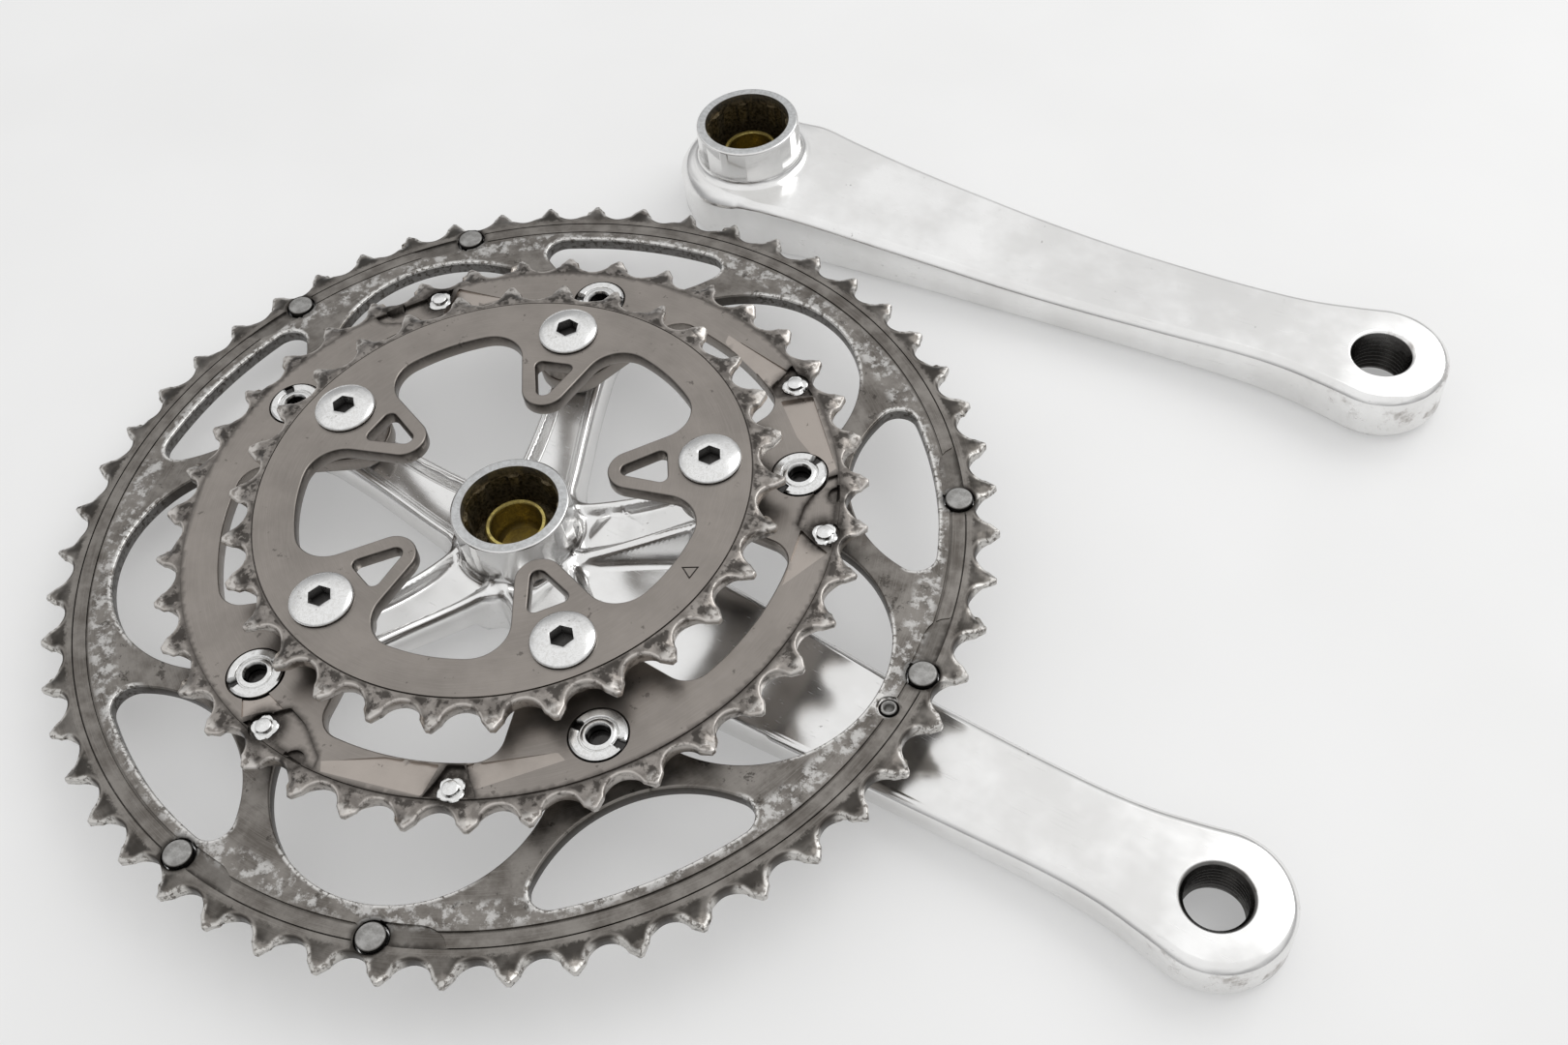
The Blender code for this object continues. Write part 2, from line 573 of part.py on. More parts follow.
def make_pins(parts, parent):
    """Riveted lifting pins of the outer and middle rings, and the chain-drop pin."""
    low, high = OUTER_RING
    pin = turned_mesh("outer_ring_pin", [
        (0, high + 0.6 * MM), (2.6 * MM, high + 0.6 * MM), (OUTER_PIN_RADIUS, high + 0.2 * MM),
        (OUTER_PIN_RADIUS, low + 0.4 * MM), (0, low + 0.4 * MM)], 10)
    for i, angle in enumerate(OUTER_PIN_ANGLES):
        add_object(f"outer_ring_pin_{i + 1}", pin.copy(), parts, PIN_STEEL, parent,
                   (*polar(OUTER_PIN_CIRCLE, angle), 0))
    low, high = MIDDLE_RING
    pin = turned_mesh("middle_ring_pin", [
        (0, high + 0.8 * MM), (1.7 * MM, high + 0.8 * MM), (MIDDLE_PIN_RADIUS, high + 0.4 * MM),
        (MIDDLE_PIN_RADIUS, low + 0.3 * MM), (0, low + 0.3 * MM)], 8)
    for i, angle in enumerate(MIDDLE_PIN_ANGLES):
        add_object(f"middle_ring_pin_{i + 1}", pin.copy(), parts, STEEL, parent,
                   (*polar(MIDDLE_PIN_CIRCLE, angle), 0))
    low, high = OUTER_RING
    pin = turned_mesh("chain_drop_pin", [
        (0, high), (DROP_PIN_RADIUS, high), (DROP_PIN_RADIUS, low - GAP), (3.0 * MM, low - GAP),
        (3.0 * MM, 6.4 * MM), (2.4 * MM, 5.8 * MM), (0, 5.8 * MM)], 10)
    add_object("chain_drop_pin", pin, parts, PIN_STEEL, parent, (DROP_PIN_CIRCLE, 0, 0))


def make_crank_bolt(side, parts, tools, arm_frame):
    """Fixing bolt, its washer, and the cap that traps it: the cap turns it into an extractor."""
    cap_low = 0.9 * MM
    cap_high = 3.7 * MM
    cap = turned_mesh(f"{side}_extractor_cap", [
        (6.2 * MM, cap_high), (RECESS_RADIUS - GAP, cap_high), (RECESS_RADIUS - GAP, cap_low + 0.4 * MM),
        (RECESS_RADIUS - 0.8 * MM, cap_low), (6.2 * MM, cap_low), (6.2 * MM, cap_high)], 20)
    cap_object = add_object(f"{side}_extractor_cap", cap, parts, BLACK, arm_frame)
    pin_hole = cylinder_mesh("pin_hole", 1.2 * MM, cap_low - MM, cap_high + MM, 8)
    pair = joined_mesh(f"{side}_wrench_holes",
                       [(pin_hole, Matrix.Translation((side_x * 8.4 * MM, 0, 0))) for side_x in (-1, 1)])
    boolean(cap_object, pair, "DIFFERENCE", tools, arm_frame)

    head_low = cap_high + GAP
    head_high = 7.9 * MM
    washer_low = head_high + GAP
    washer = turned_mesh(f"{side}_bolt_washer", [
        (7.8 * MM, RECESS_DEPTH - GAP), (10.2 * MM, RECESS_DEPTH - GAP), (10.2 * MM, washer_low),
        (7.8 * MM, washer_low), (7.8 * MM, RECESS_DEPTH - GAP)], 16)
    add_object(f"{side}_bolt_washer", washer, parts, STEEL, arm_frame)

    end = CRANK_BOLT_END
    bolt = turned_mesh(f"{side}_crank_bolt", [
        (0, 11.5 * MM), (5.7 * MM, 11.5 * MM), (5.7 * MM, end), (6.8 * MM, end),
        (7.4 * MM, end - 0.6 * MM), (7.4 * MM, head_high), (9.9 * MM, head_high),
        (9.9 * MM, head_low + 0.5 * MM), (9.4 * MM, head_low), (0, head_low)], 18)
    bolt_object = add_object(f"{side}_crank_bolt", bolt, parts, GOLD, arm_frame)
    key = hex_mesh(f"{side}_bolt_key", 10 * MM, head_low - MM, head_high + 1.5 * MM)
    boolean(bolt_object, key, "DIFFERENCE", tools, arm_frame)


# ---- assembly ----------------------------------------------------------------------------
def crank_frame(name, hub, heading):
    frame = bpy.data.objects.new(name, None)
    bpy.context.scene.collection.objects.link(frame)
    frame.location = hub
    frame.rotation_euler = (0, -LEAN, heading)
    return frame


def main():
    for item in list(bpy.data.objects):
        bpy.data.objects.remove(item)
    parts = new_collection(PRODUCT)
    tools = new_collection("cutters")
    drive = crank_frame("drive_frame", DRIVE_HUB, 0)
    left = crank_frame("left_frame", LEFT_HUB, LEFT_HEADING)
    make_drive_arm(parts, tools, drive)
    make_outer_ring(parts, tools, drive)
    make_middle_ring(parts, tools, drive)
    make_inner_ring(parts, drive)
    make_fasteners(parts, tools, drive)
    make_pins(parts, drive)
    make_crank_bolt("right", parts, tools, drive)
    make_left_arm(parts, tools, left)
    make_crank_bolt("left", parts, tools, left)


main()
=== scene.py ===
"""Looks of the triple crankset: machined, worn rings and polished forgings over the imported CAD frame.

Every piece is built in its crank frame, in millimetres: origin on the hub axis at the outer face,
+X towards the pedal hole, +Z towards the bicycle.  Plane points are complex numbers x + iy.
"""

import json
import math

import bmesh
import bpy
import numpy as np
from mathutils import Matrix, Vector, geometry, kdtree


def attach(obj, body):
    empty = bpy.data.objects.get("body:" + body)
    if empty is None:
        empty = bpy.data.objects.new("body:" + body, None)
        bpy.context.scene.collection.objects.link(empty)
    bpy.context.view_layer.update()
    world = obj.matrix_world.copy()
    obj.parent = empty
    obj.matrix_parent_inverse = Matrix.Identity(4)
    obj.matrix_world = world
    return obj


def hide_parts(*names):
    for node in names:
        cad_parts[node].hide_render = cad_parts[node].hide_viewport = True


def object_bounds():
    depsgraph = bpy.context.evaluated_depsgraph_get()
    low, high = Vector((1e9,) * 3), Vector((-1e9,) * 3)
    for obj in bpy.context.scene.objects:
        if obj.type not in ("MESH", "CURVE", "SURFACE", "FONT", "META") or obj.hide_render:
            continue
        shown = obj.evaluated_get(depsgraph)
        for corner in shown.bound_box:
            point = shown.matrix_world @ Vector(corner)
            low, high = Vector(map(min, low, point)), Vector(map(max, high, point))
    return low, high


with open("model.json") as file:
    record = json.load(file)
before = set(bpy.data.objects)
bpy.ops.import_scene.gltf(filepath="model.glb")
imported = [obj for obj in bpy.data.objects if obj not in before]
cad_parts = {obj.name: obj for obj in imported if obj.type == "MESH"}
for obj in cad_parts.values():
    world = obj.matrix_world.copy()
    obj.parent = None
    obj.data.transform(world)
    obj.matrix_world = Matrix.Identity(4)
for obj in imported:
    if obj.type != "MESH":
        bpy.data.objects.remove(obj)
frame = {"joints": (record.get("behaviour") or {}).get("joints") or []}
CAD_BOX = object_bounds()

MM = 0.001
TAU = 2 * math.pi
BOLT_COUNT = 5
BOLT_STEP = TAU / BOLT_COUNT
FIRST_BOLT = math.radians(36)
BOLT_ANGLES = [FIRST_BOLT + i * BOLT_STEP for i in range(BOLT_COUNT)]
OUTER_BOLT_RADIUS = 65.0
INNER_BOLT_RADIUS = 46.0
CRANK_LENGTH = 170.0
CHAIN_PITCH = 12.7
ROLLER_RADIUS = 3.93
SEAT_RADIUS = 4.2                   # a worn tooth gap is wider than the roller
GAP = 0.3

# Levels above the hub's outer face.
CRANK_BOLT_LEVEL = 6.0              # where the record puts each crank bolt's joint
DRIVE_RIM = 25.0
LEFT_RIM = 27.0
OUTER_RING = (12.6, 16.3)
MIDDLE_RING = (20.8, 24.7)
INNER_RING = (29.0, 32.7)
BOSS_TOP = 28.7
NUT_FACE = 25.25
SCREW_CROWN = 34.65
COUNTERBORE_DEPTH = 1.6
COUNTERBORE_RADIUS = 6.4
SLEEVE_HOLE = 5.3
SCREW_HOLE = 4.3
SHELF_TOP = 12.3
RECESS_DEPTH = 9.3

OUTER_TEETH, MIDDLE_TEETH, INNER_TEETH = 53, 39, 30
# Radii between which the faces of the teeth fall away towards their tips.
OUTER_TOOTH_ZONE = (103.2, 108.5)
MIDDLE_TOOTH_ZONE = (74.9, 80.1)
INNER_TOOTH_ZONE = (56.3, 62.4)
OUTER_FIRST_TOOTH = math.radians(1.0)
MIDDLE_FIRST_TOOTH = math.radians(6.1)
INNER_FIRST_TOOTH = math.radians(6.0)
OUTER_PIN_CIRCLE, OUTER_PIN_RADIUS = 99.8, 3.1
OUTER_PIN_ANGLES = [OUTER_FIRST_TOOTH + math.radians(1.5) + (gap + 0.5) * TAU / OUTER_TEETH
                    for gap in (0, 4, 19, 23, 38, 42)]
MIDDLE_PIN_CIRCLE, MIDDLE_PIN_RADIUS = 71.2, 2.1
MIDDLE_PIN_ANGLES = [math.radians(a) for a in (22.2, 58.4, 142.2, 262.2, 298.4)]
PIN_SEAT_DEPTH = 0.95
PIN_SEAT_RADIUS = 3.3
DROP_PIN_CIRCLE, DROP_PIN_RADIUS = 97.1, 1.7


def crank_frame(joint_name):
    """The crank frame of one side, from its crank bolt's joint in the record."""
    joint = next(j for j in frame["joints"] if j["name"] == joint_name)
    up = Vector(joint["axis"]).normalized()
    heading = math.atan2(-up.y, -up.x)
    lean = math.asin(math.hypot(up.x, up.y))
    origin = Vector(joint["pos_m"]) - CRANK_BOLT_LEVEL * MM * up
    return (Matrix.Translation(origin) @ Matrix.Rotation(heading, 4, "Z")
            @ Matrix.Rotation(-lean, 4, "Y"))


DRIVE = crank_frame("drive_bolt_turn")
LEFT = crank_frame("left_bolt_turn")
SLOPE = math.tan(math.asin(math.hypot(*DRIVE.col[2].xyz[:2])))


# ---- plane outlines ----------------------------------------------------------------------
def turn(points, angle):
    return np.asarray(points) * np.exp(1j * angle)


def arc(centre, radius, start, end, steps):
    return centre + radius * np.exp(1j * np.linspace(start, end, steps + 1))


def circle(centre, radius, steps):
    return arc(centre, radius, 0, TAU, steps)[:-1]


def polar(radius, angle):
    return radius * np.exp(1j * angle)


def circles(place_radius, angles, radius, steps):
    """Equal circles with their centres at a distance from the axis."""
    return [circle(polar(place_radius, angle), radius, steps) for angle in angles]


def signed_area(loop):
    return 0.5 * float(np.sum((np.conj(loop) * np.roll(loop, -1)).imag))


def wound(loop, counter_clockwise):
    """The loop, turned round if need be."""
    return loop if (signed_area(loop) > 0) == counter_clockwise else loop[::-1]


def inset(loop, distance):
    """The loop moved to its left by a distance."""
    along = np.roll(loop, -1) - np.roll(loop, 1)
    return loop + 1j * along / np.abs(along) * distance


def resampled(points, spacing, closed=True):
    """Points at even distances along a line."""
    line = np.append(points, points[0]) if closed else np.asarray(points)
    travelled = np.concatenate([[0], np.cumsum(np.abs(np.diff(line)))])
    count = max(3, int(round(travelled[-1] / spacing)))
    places = np.linspace(0, travelled[-1], count + 1)
    even = np.interp(places, travelled, line.real) + 1j * np.interp(places, travelled, line.imag)
    return even[:-1] if closed else even


def curved(points, steps=10):
    """A smooth line through all the points of an open line."""
    points = np.concatenate([[2 * points[0] - points[1]], points, [2 * points[-1] - points[-2]]])
    t = np.linspace(0, 1, steps, endpoint=False)
    line = []
    for p0, p1, p2, p3 in zip(points, points[1:], points[2:], points[3:]):
        line.append(0.5 * (2 * p1 + (p2 - p0) * t + (2 * p0 - 5 * p1 + 4 * p2 - p3) * t ** 2
                           + (3 * p1 - p0 - 3 * p2 + p3) * t ** 3))
    return np.concatenate(line + [[points[-2]]])


def inside(loops, points):
    """Which points lie inside an odd number of the loops."""
    result = np.zeros(len(points), bool)
    a = np.concatenate(loops)
    b = np.concatenate([np.roll(loop, -1) for loop in loops])
    run = (b.real - a.real) / np.where(b.imag == a.imag, 1, b.imag - a.imag)
    for first in range(0, len(points), 2000):
        p = points[first:first + 2000, None]
        crosses = (a.imag > p.imag) != (b.imag > p.imag)
        beyond = p.real < a.real + run * (p.imag - a.imag)
        result[first:first + 2000] = np.count_nonzero(crosses & beyond, axis=1) % 2 == 1
    return result


def tooth_loop(teeth, tip_height, tip_width, first_tooth):
    """Sprocket outline with deep round roller seats, straight flanks and rounded tips."""
    pitch = TAU / teeth
    pitch_radius = CHAIN_PITCH / 2 / math.sin(math.pi / teeth)
    seat_centre = pitch_radius - ROLLER_RADIUS + SEAT_RADIUS
    seat_half = math.radians(76)
    round_off = 0.35
    seat = turn(arc(seat_centre, SEAT_RADIUS, math.pi + seat_half, math.pi - seat_half, 18), pitch / 2)
    tip = pitch_radius + tip_height
    corner = [tip - round_off - 1j * tip_width / 2, tip - 1j * (tip_width / 2 - round_off)]
    foot = turn(seat[-1], -pitch)
    lower = np.concatenate([foot + (corner[0] - foot) * np.linspace(0, 1, 6)[1:-1], corner])
    one = np.concatenate([lower, np.conj(lower[::-1]), seat])
    return np.concatenate([turn(one, first_tooth + k * pitch) for k in range(teeth)])


def lobed_loop(rim_radius, tab_radius, end_radius, side_angle, fillet):
    """Inside edge of a ring with five tabs."""
    along = np.exp(1j * side_angle)
    start = tab_radius + (end_radius + fillet) * 1j * along
    half_b = (start * np.conj(along)).real
    reach = math.sqrt(half_b ** 2 - abs(start) ** 2 + (rim_radius - fillet) ** 2) - half_b
    centre = start + reach * along
    bearing = float(np.angle(centre))
    side = np.concatenate([
        arc(tab_radius, end_radius, math.pi, math.pi / 2 + side_angle, 14),
        resampled([tab_radius + end_radius * 1j * along, centre - fillet * 1j * along], 1.0, False)[1:-1],
        arc(centre, fillet, side_angle - math.pi / 2, bearing, 14),
        arc(0, rim_radius, bearing, BOLT_STEP / 2, 22)[1:],
    ])
    half = np.conj(side[::-1])
    one = np.concatenate([half[1:-1], side])
    return np.concatenate([turn(one, angle) for angle in BOLT_ANGLES])


def leg_loop(arch_centre, arch_radius, end_radius):
    """Inside edge of the outer ring: round arches between round bolt tabs."""
    tab = polar(OUTER_BOLT_RADIUS, BOLT_STEP / 2)
    towards = float(np.angle(tab - arch_centre))
    bend = arc(arch_centre, arch_radius, -towards, towards, 90)
    end = arc(tab, end_radius, towards + math.pi, BOLT_STEP - towards + math.pi, 24)[1:-1]
    return np.concatenate([turn(np.concatenate([bend, end]), k * BOLT_STEP) for k in range(BOLT_COUNT)])


def window_loop(rim_radius, round_centre, round_radius, fillet):
    """Window above a bolt tab of the outer ring."""
    rim = rim_radius - fillet
    bottom = round_radius - fillet
    x = (rim ** 2 - bottom ** 2 + round_centre ** 2) / (2 * round_centre)
    corner = x + 1j * math.sqrt(rim ** 2 - x ** 2)
    bearing = float(np.angle(corner))
    rise = float(np.angle(corner - round_centre))
    half = np.concatenate([arc(0, rim_radius, 0, bearing, 26)[:-1],
                           arc(corner, fillet, bearing, rise, 14)[:-1],
                           arc(round_centre, round_radius, rise, math.pi, 36)])
    return np.concatenate([half, np.conj(half[1:-1][::-1])])


def hull(points):
    """Convex outline round a cloud of points."""
    cloud = sorted(set((round(p.real, 6), round(p.imag, 6)) for p in points))

    def chain(run):
        kept = []
        for p in run:
            while len(kept) > 1 and ((kept[-1][0] - kept[-2][0]) * (p[1] - kept[-2][1])
                                     <= (kept[-1][1] - kept[-2][1]) * (p[0] - kept[-2][0])):
                kept.pop()
            kept.append(p)
        return kept[:-1]

    return np.array([complex(*p) for p in chain(cloud) + chain(cloud[::-1])])


# ---- numbers on a mesh -------------------------------------------------------------------
def read(data, name, width=1, kind=np.float32):
    """A property of every vertex, corner or face, as an array of rows."""
    values = np.zeros(len(data) * width, kind)
    data.foreach_get(name, values)
    return values.reshape(-1, width)


def store(mesh, name, values):
    """Keeps a number or a vector at every point, under a name that a finish can ask for."""
    values = np.asarray(values, np.float32)
    kind, field = ("FLOAT", "value") if values.ndim == 1 else ("FLOAT_VECTOR", "vector")
    mesh.attributes.new(name, kind, "POINT").data.foreach_set(field, values.ravel())


def stored(mesh, name):
    return read(mesh.attributes[name].data, "vector", 3)


# ---- solids between two height fields ----------------------------------------------------
def step_lines(loop, width=0.08, closed=True):
    """Two close lines that hold a sharp step of a height field."""
    line = np.append(loop, loop[0]) if closed else np.asarray(loop)
    along = np.gradient(line)
    if closed:
        along[0] = along[-1] = line[1] - line[-2]
    side = 1j * along / np.abs(along) * width / 2
    return [line + side, line - side]


def clear_of(points, tree, distance):
    return np.array([tree.find((p.real, p.imag, 0))[2] > distance for p in points], bool)


def tree_of(points):
    tree = kdtree.KDTree(len(points))
    for i, p in enumerate(points):
        tree.insert((p.real, p.imag, 0), i)
    tree.balance()
    return tree


def staggered_grid(low, high, spacing):
    rows = np.arange(low.imag, high.imag, spacing * math.sqrt(0.75))
    return np.concatenate([np.arange(low.real, high.real, spacing) + (k % 2) * spacing / 2 + 1j * y
                           for k, y in enumerate(rows)])


def filled(loops, lines, spacing, fine):
    """Points and triangles over the area inside the loops.  The loops' own points come first.
    Within the radius fine[0] of the axis the points are fine[1] apart."""
    edge_points = np.concatenate(loops)
    edges = []
    for loop in loops:
        first = edges[-1][0] + 1 if edges else 0
        edges += [(first + i, first + (i + 1) % len(loop)) for i in range(len(loop))]
    edge_tree = tree_of(edge_points)
    points = [edge_points]
    total = len(edge_points)
    for line in lines:
        keep = clear_of(line, edge_tree, 0.22) & inside(loops, line)
        place = np.cumsum(keep) - 1 + total
        edges += [(place[i], place[i + 1]) for i in range(len(line) - 1) if keep[i] and keep[i + 1]
                  and abs(line[i + 1] - line[i]) > 1e-6]
        points.append(line[keep])
        total += int(keep.sum())
    fixed = np.concatenate(points)
    fixed_tree = tree_of(fixed)
    low = complex(edge_points.real.min(), edge_points.imag.min())
    high = complex(edge_points.real.max(), edge_points.imag.max())
    grid = staggered_grid(low, high, spacing)
    grid = grid[(np.abs(grid) > fine[0]) & (np.abs(grid) < np.abs(edge_points).max())]
    grid = grid[inside(loops, grid)]
    grid = grid[clear_of(grid, fixed_tree, spacing * 0.55)]
    if fine[0] > 0:
        reach = complex(fine[0], fine[0])
        near = staggered_grid(-reach, reach, fine[1])
        near = near[np.abs(near) <= fine[0] - fine[1] / 2]
        near = near[inside(loops, near)]
        grid = np.concatenate([grid, near[clear_of(near, fixed_tree, fine[1] * 0.55)]])
    everything = np.concatenate([fixed, grid])
    verts, _, faces, came_from, _, _ = geometry.delaunay_2d_cdt(
        [Vector((p.real, p.imag)) for p in everything], edges, [], 0, 1e-7)
    verts = np.array([complex(v.x, v.y) for v in verts])
    new_index = np.full(len(everything), -1)
    for i, sources in enumerate(came_from):
        new_index[sources] = i
    triangles = np.array(faces)
    triangles = triangles[inside(loops, verts[triangles].mean(axis=1))]
    return verts, triangles, new_index[:len(edge_points)]


def field_normals(field, p, up, reach):
    """Normals of a height field, from its slopes over a small reach to either side."""
    across = (field(p + reach) - field(p - reach)) / (2 * reach)
    along_y = (field(p + 1j * reach) - field(p - 1j * reach)) / (2 * reach)
    normals = np.column_stack([-across, -along_y, np.ones(len(p))])
    return normals / np.linalg.norm(normals, axis=1)[:, None] * (1 if up else -1)


def field_solid(name, loops, top, bottom, spacing, top_edge, bottom_edge, top_lines=(), bottom_lines=(),
                edge_share=None, walls=None, fine=(0, 1), reach=0.01):
    """A closed solid between two height fields.

    The first loop is the outside and the others are holes.  An edge is a list of (inset, drop)
    from the outline inwards, and top_edge and bottom_edge hold one for each loop: the last one
    serves all the loops after it.  edge_share scales the drops from place to place, and walls
    gives a loop's own rows (inset, level) between its top and bottom edge.
    """
    loops = [wound(loop, i == 0) for i, loop in enumerate(loops)]
    walls = walls or {}
    share = edge_share or (lambda p: np.ones(len(p)))
    top_edges = [top_edge[min(i, len(top_edge) - 1)] for i in range(len(loops))]
    bottom_edges = [bottom_edge[min(i, len(bottom_edge) - 1)] for i in range(len(loops))]
    upper, upper_triangles, upper_edge = filled(
        [inset(loop, edge[-1][0]) for loop, edge in zip(loops, top_edges)], top_lines, spacing, fine)
    lower, lower_triangles, lower_edge = filled(
        [inset(loop, edge[-1][0]) for loop, edge in zip(loops, bottom_edges)], bottom_lines, spacing, fine)
    places = [upper, lower]
    levels = [top(upper), bottom(lower)]
    faces = [tuple(t) for t in upper_triangles] + [tuple(t[::-1] + len(upper)) for t in lower_triangles]
    total = len(upper) + len(lower)
    first = 0
    for index, loop in enumerate(loops):
        count = len(loop)
        rows = [upper_edge[first:first + count]]
        middle = []
        for distance, drop in top_edges[index][-2::-1]:
            at = inset(loop, distance)
            middle.append((at, top(at) - drop * share(at)))
        for distance, level in walls.get(index, []):
            middle.append((inset(loop, distance), np.full(count, level)))
        for distance, drop in bottom_edges[index][:-1]:
            at = inset(loop, distance)
            middle.append((at, bottom(at) + drop * share(at)))
        for at, level in middle:
            places.append(at)
            levels.append(level)
            rows.append(np.arange(total, total + count))
            total += count
        rows.append(lower_edge[first:first + count] + len(upper))
        for a, b in zip(rows, rows[1:]):
            faces += list(zip(a, b, np.roll(b, -1), np.roll(a, -1)))
        first += count
    flat = np.concatenate(places)
    height = np.concatenate(levels)
    mesh = bpy.data.meshes.new(name)
    points = np.column_stack([flat.real, flat.imag, height]) * MM
    mesh.from_pydata(points, [], [tuple(map(int, face)) for face in faces])
    outline_tree = tree_of(np.concatenate([resampled(loop, 0.4) for loop in loops]))
    store(mesh, "from_edge", [outline_tree.find((p.real, p.imag, 0))[2] for p in flat])
    normals = np.zeros((len(flat), 3), np.float32)
    normals[:len(upper)] = field_normals(top, upper, True, reach)
    normals[len(upper):len(upper) + len(lower)] = field_normals(bottom, lower, False, reach)
    store(mesh, "field_normal", normals)
    return mesh


STEEPEST_FOLLOWED = 60.0            # degrees between a face and the slope it may take over


def use_field_normals(mesh, place):
    """Shades a height field by its own slopes wherever a face follows them."""
    shading = read(mesh.corner_normals, "vector", 3)
    corner_vertex = read(mesh.loops, "vertex_index", kind=np.int32)[:, 0]
    sizes = read(mesh.polygons, "loop_total", kind=np.int32)[:, 0]
    faces = np.repeat(read(mesh.polygons, "normal", 3), sizes, axis=0)
    turned = np.array(place.to_3x3(), np.float32)
    wanted = stored(mesh, "field_normal")[corner_vertex] @ turned.T
    follows = np.sum(wanted * faces, axis=1) > math.cos(math.radians(STEEPEST_FOLLOWED))
    shading[follows] = wanted[follows]
    mesh.normals_split_custom_set(shading)


def lathe(name, profile, steps, hexagon=(), wobble=None, soiled=None):
    """A turned solid.  The profile is (radius, z) from the top to the bottom, and closes on itself
    when it doesn't start on the axis.  Rows listed in hexagon are six-sided.  The last argument,
    a radius and a level, paints shade on what lies nearer the axis than the radius and below the level."""
    turn_angles = np.arange(steps) * TAU / steps
    six = math.cos(math.pi / 6) / np.cos((turn_angles + math.pi / 6) % (math.pi / 3) - math.pi / 6)
    work = bmesh.new()
    rows = []
    for i, (radius, z) in enumerate(profile):
        if radius == 0:
            rows.append([work.verts.new((0, 0, z * MM))])
            continue
        radii = radius * (six if i in hexagon else np.ones(steps))
        heights = np.full(steps, float(z))
        if wobble:
            radii, heights = wobble(i, radii, heights, turn_angles)
        rows.append([work.verts.new((r * math.cos(a) * MM, r * math.sin(a) * MM, h * MM))
                     for r, h, a in zip(radii, heights, turn_angles)])
    if profile[0][0] != 0:
        rows.append(rows[0])
    for a, b in zip(rows, rows[1:]):
        for i in range(steps):
            j = (i + 1) % steps
            corners = [a[i % len(a)], b[i % len(b)], b[j % len(b)], a[j % len(a)]]
            work.faces.new(list(dict.fromkeys(corners)))
    bmesh.ops.recalc_face_normals(work, faces=work.faces)
    mesh = bpy.data.meshes.new(name)
    work.to_mesh(mesh)
    work.free()
    # Painted shade in sockets, slots and bores: what lies near the axis and low down is marked dark.
    if soiled:
        points = read(mesh.vertices, "co", 3) / MM
        near = np.hypot(points[:, 0], points[:, 1]) < soiled[0]
        store(mesh, "soil", near & (points[:, 2] < soiled[1]))
    return mesh


def keep_own_place(mesh):
    """Stores where the points lie now, in millimetres, for the finish to work from."""
    store(mesh, "own_place", read(mesh.vertices, "co", 3) / MM)


def show(mesh, finish):
    piece = bpy.data.objects.new(mesh.name, mesh)
    bpy.context.scene.collection.objects.link(piece)
    mesh.materials.append(finish)
    keep_own_place(mesh)
    return piece


def add_piece(mesh, finish, body, place, replaces, sharp=32):
    """Shows a mesh, drawn in the frame called place, as a piece that stands for CAD nodes."""
    piece = show(mesh, finish)
    mesh.transform(place)
    mesh.shade_smooth()
    mesh.set_sharp_from_angle(angle=math.radians(sharp))
    if "field_normal" in mesh.attributes:
        use_field_normals(mesh, place)
        mesh.attributes.remove(mesh.attributes["field_normal"])
    else:
        piece.modifiers.new("Even shading", "WEIGHTED_NORMAL").keep_sharp = True
    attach(piece, body)
    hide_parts(*replaces)
    return piece


# ---- height-field helpers ----------------------------------------------------------------
def rise(value, at, width=0.06):
    """0 below a place and 1 above it, over a short width."""
    return np.clip((value - at) / width + 0.5, 0, 1)


def eased(value, low, high):
    t = np.clip((value - low) / (high - low), 0, 1)
    return t * t * (3 - 2 * t)


def soft_max(a, b, radius):
    """The larger of two heights, with a fillet where they cross."""
    share = np.clip(0.5 + 0.5 * (a - b) / radius, 0, 1)
    return b * (1 - share) + a * share + radius * share * (1 - share)


def degrees_past(points, angle):
    """How far round, in degrees, each point lies past an angle, from -180 to 180."""
    return np.degrees(np.angle(points * np.exp(-1j * angle)))


def circle_lines(radius, spacing=1.0, width=0.08):
    return step_lines(circle(0, radius, int(TAU * radius / spacing)), width)


# ---- chainrings --------------------------------------------------------------------------
RING_EDGE = [(0, 0.4), (0.17, 0.12), (0.4, 0)]
BAND_FLOOR = 0.22
GROOVE = (97.5, 98.0)
FINE_LINE = (100.9, 101.15)
RAMP_LENGTH = 8.7                   # degrees along the ring
RAMP_INNER = 96.4
RAMP_BEND = 5.0


def ramp_inner_edge(past):
    """Inner edge of the ramp beside a shifting pin, against degrees past the pin."""
    bend = np.clip((past - RAMP_BEND) / (RAMP_LENGTH - RAMP_BEND), 0, 1)
    return RAMP_INNER + (FINE_LINE[0] - RAMP_INNER) * (1 - np.sqrt(1 - bend ** 2))


def tooth_relief(points, teeth, first_tooth, start, tip, depth, seed):
    """How far a tooth's face lies below the plate: thinner to the tip, with uneven ground facets."""
    pitch = TAU / teeth
    number = np.round((np.angle(points) - first_tooth) / pitch).astype(int) % teeth
    across = (turn(points, -first_tooth) * np.exp(-1j * number * pitch)).imag
    lean = np.random.default_rng(seed).uniform(-0.45, 0.45, teeth)[number]
    out = np.clip((np.abs(points) - start) / (tip - start), 0, 1)
    facet = np.maximum(0.3 * np.abs(across) + lean * across, 0) * eased(out, 0.1, 0.6)
    return depth * out ** 1.15 + facet


